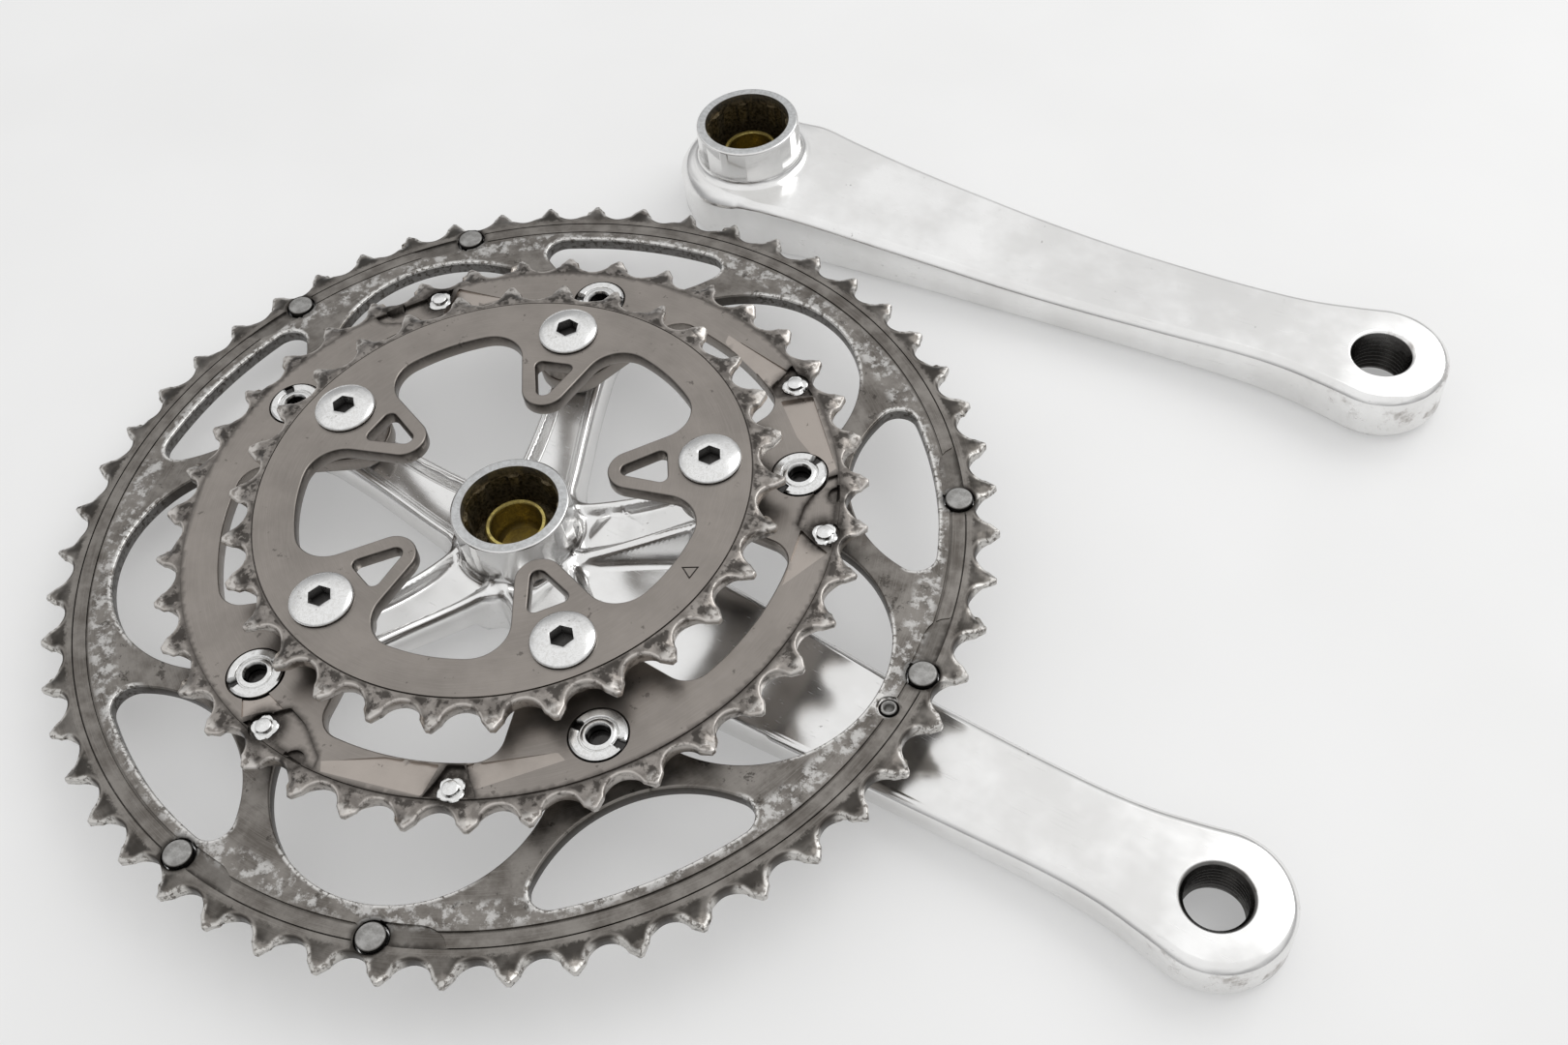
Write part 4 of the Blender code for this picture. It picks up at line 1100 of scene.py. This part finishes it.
def crank_bolt_mesh(name):
    """Hollow crank bolt: its end shows down the spindle bore."""
    profile = [(0, 10.2), (4.9, 10.4), (5.6, 11.2), (5.9, 12.0), (5.9, 17.9), (6.1, 18.2), (6.75, 18.2),
               (7.1, 17.9), (7.1, 14.0), (7.4, 13.6), (7.4, 7.9), (9.6, 7.9), (9.9, 7.6), (9.9, 4.5),
               (9.4, 4.0), (5.6, 4.0), (5.1, 4.4), (5.1, 8.6), (0, 8.9)]
    return lathe(name, profile, 72, hexagon=(16, 17))


def cap_mesh(name):
    """Black ring screwed over the bolt head, with two wrench holes pressed in."""
    profile = [(6.2, 3.7), (10.7, 3.7), (10.7, 1.3), (10.3, 0.95), (9.9, 0.9), (9.4, 0.9), (9.2, 0.9),
               (8.4, 0.9), (7.6, 0.9), (7.4, 0.9), (6.6, 0.9), (6.2, 1.2)]

    def holes(row, radii, heights, angles):
        across = np.hypot(radii * np.cos(angles) - np.sign(np.cos(angles)) * 8.4, radii * np.sin(angles))
        return radii, np.where((across < 1.1) & (6 <= row <= 8), 2.2, heights)

    return lathe(name, profile, 120, wobble=holes)


def washer_mesh(name):
    profile = [(7.8, 9.0), (10.1, 9.0), (10.2, 8.9), (10.2, 8.3), (10.1, 8.2), (7.8, 8.2)]
    return lathe(name, profile, 64)


NUT_TURNS = [math.radians(a) for a in (75, 20, 150, 60, 5)]


def make_fasteners(plated, pin_steel, passivated, black):
    turns = np.random.default_rng(11).uniform(0, TAU, 3 * BOLT_COUNT)
    for i, angle in enumerate(BOLT_ANGLES):
        outer = polar(OUTER_BOLT_RADIUS, angle)
        inner = polar(INNER_BOLT_RADIUS, angle)
        for stem, make, place, spin in (("chainring_bolt", bolt_mesh, outer, turns[i]),
                                        ("chainring_nut", nut_mesh, outer, NUT_TURNS[i]),
                                        ("inner_ring_screw", screw_mesh, inner, turns[i + BOLT_COUNT])):
            node = f"{stem}_{i + 1}"
            add_piece(make(node + "_worn"), plated, "drive_side", at(place, spin), [node])
    for i, angle in enumerate(OUTER_PIN_ANGLES):
        node = f"outer_ring_pin_{i + 1}"
        place = at(polar(OUTER_PIN_CIRCLE, angle))
        add_piece(outer_pin_mesh(node + "_worn"), pin_steel, "drive_side", place, [node])
    for i, angle in enumerate(MIDDLE_PIN_ANGLES):
        node = f"middle_ring_pin_{i + 1}"
        place = at(polar(MIDDLE_PIN_CIRCLE, angle), i * 0.7)
        add_piece(middle_pin_mesh(node + "_worn"), plated, "drive_side", place, [node])
    add_piece(drop_pin_mesh("chain_drop_pin_worn"), pin_steel, "drive_side",
              at(complex(DROP_PIN_CIRCLE, 0)), ["chain_drop_pin"])
    for side, body, bolt_body, hub in (("right", "drive_side", "drive_bolt", DRIVE),
                                       ("left", "left_arm", "left_bolt", LEFT)):
        add_piece(crank_bolt_mesh(side + "_crank_bolt_worn"), passivated, bolt_body, hub,
                  [side + "_crank_bolt"])
        add_piece(cap_mesh(side + "_extractor_cap_worn"), black, body, hub,
                  [side + "_extractor_cap"])
        add_piece(washer_mesh(side + "_bolt_washer_worn"), plated, body, hub,
                  [side + "_bolt_washer"])


# ---- materials ---------------------------------------------------------------------------
class Shading:
    """A node tree built up node by node."""

    def __init__(self, owner):
        owner.use_nodes = True
        self.nodes, self.links = owner.node_tree.nodes, owner.node_tree.links

    def put(self, socket, value):
        if isinstance(value, bpy.types.NodeSocket):
            self.links.new(value, socket)
        elif value is not None:
            socket.default_value = value

    def node(self, kind, inputs, output=0, **settings):
        """Adds a node and returns one of its outputs.  Inputs go by name or number."""
        node = self.nodes.new("ShaderNode" + kind)
        for name, value in settings.items():
            setattr(node, name, value)
        for socket, value in inputs.items():
            self.put(node.inputs[socket], value)
        return node.outputs[output]

    def vector(self, operation, a, b=None, output="Vector"):
        return self.node("VectorMath", {0: a, 1: b}, output, operation=operation)

    def math(self, operation, a, b):
        return self.node("Math", {0: a, 1: b}, operation=operation)

    def noise(self, scale, detail=4.0, roughness=0.55, place=None, distortion=0.0, offset=0.0):
        """Noise with the given number of features per millimetre."""
        where = self.vector("ADD", place or self.place, (offset, offset * 0.7, offset * 0.3))
        return self.node("TexNoise", {"Vector": where, "Scale": scale, "Detail": detail,
                                      "Roughness": roughness, "Distortion": distortion})


class Finish(Shading):
    """A material.  Lengths in it are millimetres of the frame that its piece was drawn in."""

    def __init__(self, name, metallic=1.0):
        self.material = bpy.data.materials.new(name)
        super().__init__(self.material)
        self.shader = self.nodes["Principled BSDF"]
        self.put(self.shader.inputs["Metallic"], metallic)
        self.place = self.attribute("own_place", "Vector")
        flat = self.vector("MULTIPLY", self.place, (1, 1, 0))
        self.radius = self.vector("LENGTH", flat, None, "Value")
        self.bearing = self.vector("NORMALIZE", flat)
        self.x, self.z = (self.node("SeparateXYZ", {0: self.place}, axis) for axis in "XZ")

    def attribute(self, name, output="Fac"):
        return self.node("Attribute", {}, output, attribute_name=name)

    def times(self, *factors):
        result = factors[0]
        for factor in factors[1:]:
            result = self.math("MULTIPLY", result, factor)
        return result

    def ramp(self, value, start, end, low=0.0, high=1.0):
        """Eased change from low to high as the value goes from start to end."""
        return self.node("MapRange", {0: value, 1: start, 2: end, 3: low, 4: high},
                         interpolation_type="SMOOTHSTEP")

    def band(self, value, low, high, soft):
        """1 between two values, falling to 0 outside them."""
        return self.times(self.ramp(value, low - soft, low + soft),
                          self.ramp(value, high + soft, high - soft))

    def turned_marks(self, per_mm=3.0, stretch=14.0):
        """Noise drawn out round the axis, as turning leaves it."""
        round_it = self.vector("MULTIPLY", self.bearing, (stretch, stretch, 0))
        out = self.node("CombineXYZ", {2: self.times(self.radius, per_mm)})
        return self.noise(1.0, 3.0, 0.6, self.vector("ADD", round_it, out))

    def streaks(self, angle, fine, length, offset=0.0):
        """Noise drawn out along one direction: fine across it, long along it."""
        drawn = self.node("Mapping", {"Vector": self.place, "Rotation": (0, 0, angle),
                                      "Scale": (1 / length, fine, fine)})
        return self.noise(1.0, 2.0, 0.5, drawn, offset=offset)

    def mix(self, share, a, b):
        a, b = ((*value, 1) if isinstance(value, tuple) else value for value in (a, b))
        return self.node("Mix", {"Factor": share, "A": a, "B": b}, "Result", data_type="RGBA")

    def layer(self, under, tint, *masks):
        """Lays a colour over another where all the masks allow it."""
        return self.mix(self.times(*masks), under, tint)

    def blend(self, share, a, b):
        """A number between a and b."""
        return self.math("ADD", self.times(share, self.math("SUBTRACT", b, a)), a)

    def finish(self, colour, roughness, height, depth_mm, strength):
        bumped = self.node("Bump", {"Strength": strength, "Distance": depth_mm * MM, "Height": height})
        for name, value in (("Base Color", colour), ("Roughness", roughness), ("Normal", bumped)):
            self.put(self.shader.inputs[name], value)
        return self.material


def worn_ring_finish():
    """Big ring: dark grey anodising, scraped bright inside the band, grimy round the teeth."""
    f = Finish("worn_anodised_ring")
    edge = f.attribute("from_edge")
    lines = f.turned_marks(5.0, 10.0)
    cloud = f.noise(0.12, 6.0, 0.66)
    speck = f.noise(0.9, 6.0, 0.7, distortion=0.4)
    colour = f.mix(f.ramp(cloud, 0.34, 0.66), (0.125, 0.112, 0.10), (0.27, 0.252, 0.232))
    colour = f.mix(f.ramp(lines, 0.4, 0.75, 0.0, 0.45), colour, (0.30, 0.285, 0.265))
    stains = f.ramp(f.noise(0.24, 6.0, 0.72, offset=31.0), 0.58, 0.64)
    colour = f.layer(colour, (0.062, 0.056, 0.05), f.ramp(f.radius, 101.0, 92.0), stains, 0.75)
    scrapes = f.noise(0.34, 7.0, 0.72, offset=3.0)
    scraped = f.times(f.band(f.radius, 91.6, 97.0, 1.0), f.ramp(scrapes, 0.48, 0.60))
    colour = f.layer(colour, (0.60, 0.59, 0.575), scraped, 0.85)
    colour = f.layer(colour, (0.78, 0.77, 0.75), f.ramp(edge, 1.1, 0.5), f.ramp(f.radius, 99.0, 96.5),
                     f.ramp(f.radius, 86.0, 90.0), f.ramp(speck, 0.42, 0.52), 0.9)
    ragged = f.math("ADD", f.radius, f.times(speck, 3.0))
    patchy = f.ramp(f.noise(0.13, 3.0, 0.5, offset=71.0), 0.38, 0.6, 0.35, 1.0)
    colour = f.layer(colour, (0.04, 0.036, 0.032), f.ramp(ragged, 103.6, 104.6),
                     f.ramp(ragged, 108.2, 107.0), f.ramp(edge, 0.7, 1.4), patchy, 0.88)
    colour = f.layer(colour, (0.045, 0.04, 0.036), f.ramp(edge, 0.75, 0.3),
                     f.ramp(f.radius, 101.2, 102.0), f.ramp(f.radius, 104.2, 103.2), 0.85)
    colour = f.layer(colour, (0.60, 0.585, 0.56), f.ramp(edge, 1.1, 0.6),
                     f.ramp(f.radius, 103.4, 104.4), f.ramp(speck, 0.42, 0.5), 0.95)
    # Painted shade round the pins and in the grooves and ramps.
    colour = f.layer(colour, (0.028, 0.025, 0.022), f.attribute("soil"),
                     f.ramp(speck, 0.25, 0.5, 0.6, 1.0))
    # Painted shade: the walls of the windows, legs and holes inside the band grow near-black towards the
    # underside.
    below = f.ramp(f.z, OUTER_RING[1] - 0.45, OUTER_RING[1] - 0.8)
    colour = f.layer(colour, (0.028, 0.024, 0.021), below, f.ramp(f.radius, 98.0, 96.0),
                     f.ramp(edge, 0.5, 0.2), 0.8)
    roughness = f.blend(scraped, f.ramp(cloud, 0.3, 0.7, 0.3, 0.46), 0.4)
    relief = f.math("ADD", f.times(lines, 0.6), f.times(speck, 0.9))
    return f.finish(colour, roughness, relief, depth_mm=0.05, strength=0.6)


def taupe_finish():
    """Middle and inner rings: satin taupe anodising, worn to grey and black round the teeth."""
    f = Finish("taupe_anodised_ring")
    edge = f.attribute("from_edge")
    out = f.attribute("toothed")
    toothed = f.ramp(out, 0.0, 1.0)
    lines = f.turned_marks(7.0, 8.0)
    cloud = f.noise(0.07, 5.0, 0.6)
    speck = f.noise(0.8, 6.0, 0.7, distortion=0.5)
    colour = f.mix(f.ramp(cloud, 0.3, 0.7), (0.26, 0.237, 0.216), (0.32, 0.291, 0.266))
    colour = f.mix(f.ramp(lines, 0.4, 0.75, 0.0, 0.35), colour, (0.38, 0.348, 0.322))
    colour = f.layer(colour, (0.48, 0.43, 0.39), f.attribute("bare"), f.ramp(cloud, 0.2, 0.6, 0.45, 0.8))
    spots = f.ramp(f.noise(0.35, 4.0, 0.65, offset=17.0), 0.66, 0.70)
    colour = f.layer(colour, (0.09, 0.08, 0.072), spots, 0.6)
    patches = f.noise(0.3, 5.0, 0.62, offset=12.0, distortion=0.3)
    worn = f.mix(f.ramp(patches, 0.35, 0.65), (0.33, 0.305, 0.282), (0.165, 0.15, 0.137))
    colour = f.layer(colour, worn, toothed, 0.85)
    grime = f.ramp(f.noise(0.34, 6.0, 0.62, offset=44.0), 0.46, 0.56)
    colour = f.layer(colour, (0.045, 0.04, 0.036), toothed, f.ramp(edge, 0.7, 1.3),
                     f.ramp(out, 1.85, 1.5), grime, 0.85)
    colour = f.layer(colour, (0.60, 0.565, 0.53), toothed, f.ramp(edge, 0.7, 0.35),
                     f.ramp(patches, 0.62, 0.52), f.ramp(speck, 0.36, 0.46), 0.75)
    tips = f.ramp(f.noise(0.6, 4.0, 0.6, offset=27.0), 0.58, 0.46)
    colour = f.layer(colour, (0.62, 0.595, 0.565), f.ramp(out, 1.5, 1.75), tips, 0.85)
    # Painted shade in the pockets, grooves and steps and round the pins.
    colour = f.layer(colour, (0.032, 0.028, 0.025), f.attribute("soil"),
                     f.ramp(speck, 0.25, 0.55, 0.6, 1.0))
    roughness = f.ramp(f.noise(0.25, 4.0, 0.6, offset=5.0), 0.3, 0.7, 0.3, 0.4)
    relief = f.math("ADD", f.times(lines, 0.5), f.times(toothed, speck))
    return f.finish(colour, roughness, relief, depth_mm=0.04, strength=0.4)


def polished_finish():
    """Polished forgings: bright aluminium with hairline scratches, dull patches, greasy spline bores and
    painted shade inside the pedal holes.
    """
    f = Finish("polished_aluminium")
    fine = f.streaks(0.15, 3.5, 9.0)
    cross = f.streaks(-0.9, 2.6, 12.0, 23.0)
    cloud = f.noise(0.05, 4.0, 0.6)
    speck = f.noise(1.1, 5.0, 0.7)
    colour = f.mix(f.ramp(cloud, 0.35, 0.7), (0.80, 0.795, 0.785), (0.90, 0.898, 0.892))
    marks = f.times(f.ramp(fine, 0.66, 0.74), 0.3)
    colour = f.layer(colour, (0.50, 0.495, 0.485), marks)
    pits = f.ramp(f.noise(0.55, 3.0, 0.6, offset=41.0), 0.72, 0.76)
    colour = f.layer(colour, (0.30, 0.29, 0.275), pits, 0.6)
    scuffed = f.times(f.ramp(f.x, 150.0, 176.0), f.ramp(f.attribute("from_edge"), 1.4, 0.4),
                      f.ramp(f.noise(0.16, 7.0, 0.7, offset=61.0), 0.50, 0.68))
    colour = f.layer(colour, (0.34, 0.31, 0.285), scuffed, 0.7)
    # Painted shade in the pedal holes: near-black within the hole's radius below a level.
    off_eye = f.vector("LENGTH", f.vector("SUBTRACT", f.vector("MULTIPLY", f.place, (1, 1, 0)),
                                          (CRANK_LENGTH, 0, 0)), None, "Value")
    colour = f.layer(colour, (0.06, 0.057, 0.053), f.ramp(off_eye, 7.9, 7.5),
                     f.ramp(f.z, LEFT_RIM - 21.3, LEFT_RIM - 21.9), 0.9)
    rim = f.times(f.band(f.radius, 11.0, 13.1, 0.15), f.ramp(f.z, DRIVE_RIM - 0.5, DRIVE_RIM - 0.25))
    machined = f.mix(f.ramp(speck, 0.4, 0.6), (0.62, 0.63, 0.635), (0.50, 0.505, 0.505))
    colour = f.layer(colour, machined, rim)
    in_bore = f.ramp(f.radius, 11.2, 11.0)
    grease = f.mix(f.ramp(speck, 0.35, 0.65), (0.06, 0.048, 0.026), (0.27, 0.225, 0.15))
    colour = f.layer(colour, grease, in_bore)
    roughness = f.ramp(cloud, 0.3, 0.7, 0.14, 0.24)
    roughness = f.math("ADD", roughness, f.times(f.math("ADD", marks, scuffed), 0.4))
    roughness = f.blend(in_bore, f.blend(rim, roughness, 0.36), 0.5)
    relief = f.math("ADD", f.times(fine, 0.5), f.times(cross, 0.35))
    relief = f.math("ADD", relief, f.times(cloud, 0.8))
    return f.finish(colour, roughness, relief, depth_mm=0.02, strength=0.3)


def plated_finish():
    """Bright plated steel, scratched, with painted shade in its sockets, slots and bores."""
    f = Finish("plated_steel")
    speck = f.noise(1.3, 5.0, 0.7, distortion=0.6)
    fine = f.streaks(0.5, 6.0, 4.0)
    colour = f.mix(f.ramp(speck, 0.42, 0.68), (0.84, 0.84, 0.835), (0.72, 0.715, 0.70))
    stains = f.ramp(f.noise(0.4, 6.0, 0.75, offset=9.0), 0.60, 0.70)
    colour = f.layer(colour, (0.15, 0.135, 0.115), stains, 0.65)
    # Painted shade: sockets, slots and bores turn near-black.
    colour = f.layer(colour, (0.018, 0.016, 0.015), f.attribute("soil"), 0.95)
    roughness = f.ramp(speck, 0.3, 0.7, 0.14, 0.28)
    return f.finish(colour, roughness, f.math("ADD", f.times(fine, 0.6), speck), depth_mm=0.03, strength=0.2)


def pin_finish():
    f = Finish("pin_steel")
    speck = f.noise(0.7, 5.0, 0.7)
    colour = f.mix(f.ramp(speck, 0.35, 0.65), (0.42, 0.415, 0.405), (0.27, 0.265, 0.255))
    # Painted shade round the rim of the pin head, where it meets its hole.
    rim = f.ramp(f.radius, 2.75, 3.05)
    colour = f.layer(colour, (0.05, 0.045, 0.04), rim, 0.85)
    return f.finish(colour, f.ramp(speck, 0.3, 0.7, 0.32, 0.5), speck, depth_mm=0.03, strength=0.3)


def passivated_finish():
    """Yellow passivated steel under a film of grease."""
    f = Finish("yellow_passivated_bolt")
    speck = f.noise(0.6, 5.0, 0.7, distortion=0.8)
    colour = f.mix(f.ramp(speck, 0.35, 0.65), (0.60, 0.50, 0.17), (0.34, 0.27, 0.10))
    colour = f.layer(colour, (0.12, 0.09, 0.045), f.ramp(f.radius, 6.0, 5.6), 0.75)
    return f.finish(colour, f.ramp(speck, 0.3, 0.7, 0.25, 0.45), speck, depth_mm=0.05, strength=0.4)


def black_finish():
    f = Finish("black_cap")
    speck = f.noise(0.9, 5.0, 0.7)
    lines = f.turned_marks(6.0, 6.0)
    colour = f.mix(f.ramp(speck, 0.5, 0.75), (0.035, 0.035, 0.036), (0.11, 0.11, 0.11))
    return f.finish(colour, f.ramp(speck, 0.3, 0.7, 0.3, 0.5), lines, depth_mm=0.03, strength=0.4)


def floor_finish():
    """Pale floor with a faint glow of its own, which keeps the shadows on it light."""
    f = Finish("pale_floor", metallic=0.0)
    cloud = f.noise(0.012, 3.0, 0.5)
    grain = f.noise(1.5, 3.0, 0.6)
    colour = f.mix(f.ramp(cloud, 0.3, 0.7), (0.54, 0.54, 0.536), (0.565, 0.565, 0.562))
    f.put(f.shader.inputs["Emission Color"], (1, 1, 1, 1))
    f.put(f.shader.inputs["Emission Strength"], 0.275)
    return f.finish(colour, 0.55, grain, depth_mm=0.02, strength=0.15)


def paint(piece, **layers):
    """Stores numbers at the piece's points: each layer is a function of place and level."""
    place = stored(piece.data, "own_place")
    for name, layer in layers.items():
        store(piece.data, name, layer(place[:, 0] + 1j * place[:, 1], place[:, 2]))


def near_pins(p, circle_radius, angles, low, high):
    nearest = np.min([np.abs(p - polar(circle_radius, a)) for a in angles], axis=0)
    return 1 - eased(nearest, low, high)


# Painted shade on the big ring: round the pins and in the grooves, lighter in the ramps.
def outer_soil(p, z):
    pins = near_pins(p, OUTER_PIN_CIRCLE, OUTER_PIN_ANGLES, 3.5, 5.0)
    low = OUTER_RING[1] - z
    grooves = np.where((np.abs(p) < 101.5) & (np.abs(p) > 96) & (low < 1.8), eased(low, 0.42, 0.5), 0)
    ramps = np.where((np.abs(p) < 100.8) & (np.abs(p) > 96) & (low > 0.4) & (low < 0.8), 0.35, 1)
    return np.maximum(pins * 0.9, grooves * 0.85 * ramps)


# Painted shade on the middle ring: round the pins, in the deep pockets, along the step and the pockets'
# steep sides.
def middle_soil(p, z):
    pins = near_pins(p, MIDDLE_PIN_CIRCLE, MIDDLE_PIN_ANGLES, 3.4, 6.5)
    low = MIDDLE_RING[1] - z
    pockets = np.where((np.abs(p) < MIDDLE_STEP) & (low < 1.8), eased(low, 1.0, 1.4), 0)
    step = 0.7 * (1 - eased(np.abs(np.abs(p) - MIDDLE_STEP - 0.1), 0.1, 0.7))
    near_pocket = facet_edge(p)
    return np.maximum.reduce([pins * 0.95, pockets * 0.7, step, near_pocket])


def facet_edge(p):
    """Painted shade along the steep sides of the ground pockets."""
    nearest = np.full(len(p), 9.0)
    for outline, first, _, _ in MIDDLE_FACETS:
        if first > STEEP_DEPTH:
            for place in resampled(np.array(outline), 0.8):
                nearest = np.minimum(nearest, np.abs(p - place))
    return 0.85 * (1 - eased(nearest, 0.3, 1.1))


def middle_bare(p, z):
    shallow = [np.array(outline) for outline, first, _, _ in MIDDLE_FACETS if first < STEEP_DEPTH]
    return np.max([inside([outline], p) for outline in shallow], axis=0) * (z > MIDDLE_RING[1] - 1.3)


# Painted shade on the inner ring: in the groove, the engraved mark and down the edges inside the step.
def inner_soil(p, z):
    low = INNER_RING[1] - z
    return np.where((np.abs(p) < 55.4) & (low < 1.8), eased(low, 0.1, 0.2), 0) * 0.8


def toothed(rim, tip):
    """0 on the plate, 1 just outside the rim and 2 at the tips of the teeth."""
    def layer(p, z):
        radius = np.abs(p)
        return eased(radius, rim - 0.3, rim + 0.3) + np.clip((radius - rim) / (tip - rim), 0, 1)

    return layer


# ---- stage -------------------------------------------------------------------------------
CAMERA_PLACE = (0.14671, -0.18097, 0.32426)
CAMERA_TURN = (36.509, 2.854, 32.142)   # degrees
CAMERA_LENS = 39.154
FLOOR_SIZE = 40.0                   # metres
FLOOR_CLEARANCE = 0.0002            # metres
SKY = ((0.0, (0.38, 0.38, 0.385, 1)), (0.75, (1, 1, 1, 1)))     # height and colour


def make_stage():
    work = bmesh.new()
    bmesh.ops.create_grid(work, x_segments=2, y_segments=2, size=FLOOR_SIZE)
    mesh = bpy.data.meshes.new("floor")
    work.to_mesh(mesh)
    work.free()
    floor = show(mesh, floor_finish())
    floor.location.z = CAD_BOX[0].z - FLOOR_CLEARANCE


def add_area_light(name, place, target, size, power):
    data = bpy.data.lights.new(name, "AREA")
    data.shape = "RECTANGLE"
    data.size, data.size_y = size
    data.energy = power
    light = bpy.data.objects.new(name, data)
    bpy.context.scene.collection.objects.link(light)
    light.location = place
    light.rotation_euler = (Vector(target) - Vector(place)).to_track_quat("-Z", "Y").to_euler()


def make_lights():
    """A pale tent: bright overhead, darker towards the horizon, with one soft light to the side."""
    world = bpy.data.worlds.new("soft_tent")
    bpy.context.scene.world = world
    tent = Shading(world)
    direction = tent.node("TexCoord", {}, "Generated")
    folds = tent.node("TexNoise", {"Vector": direction, "Scale": 2.6, "Detail": 2.0})
    bent = tent.node("MapRange", {0: folds, 1: 0.3, 2: 0.7, 3: -0.2, 4: 0.16})
    height = tent.math("ADD", tent.node("SeparateXYZ", {0: direction}, "Z"), bent)
    tone = tent.node("ValToRGB", {0: height})
    ramp = tone.node.color_ramp
    ramp.interpolation = "EASE"
    for element, (position, colour) in zip(ramp.elements, SKY):
        element.position = position
        element.color = colour
    background = tent.nodes["Background"].inputs
    tent.put(background["Color"], tone)
    tent.put(background["Strength"], 0.93)
    add_area_light("side", place=(0.5, 0.95, 1.0), target=(0, 0, 0), size=(1.1, 1.1), power=7)
    bpy.context.scene.view_settings.view_transform = "Standard"


def make_camera():
    data = bpy.data.cameras.new("camera")
    data.sensor_width = 36
    data.lens = CAMERA_LENS
    data.clip_start = 0.01
    camera = bpy.data.objects.new("camera", data)
    bpy.context.scene.collection.objects.link(camera)
    camera.location = CAMERA_PLACE
    camera.rotation_euler = [math.radians(a) for a in CAMERA_TURN]
    bpy.context.scene.camera = camera


make_camera()
make_stage()
make_lights()
taupe = taupe_finish()
make_outer_ring(worn_ring_finish())
make_middle_ring(taupe)
make_inner_ring(taupe)
make_forgings(polished_finish())
make_fasteners(plated_finish(), pin_finish(), passivated_finish(), black_finish())
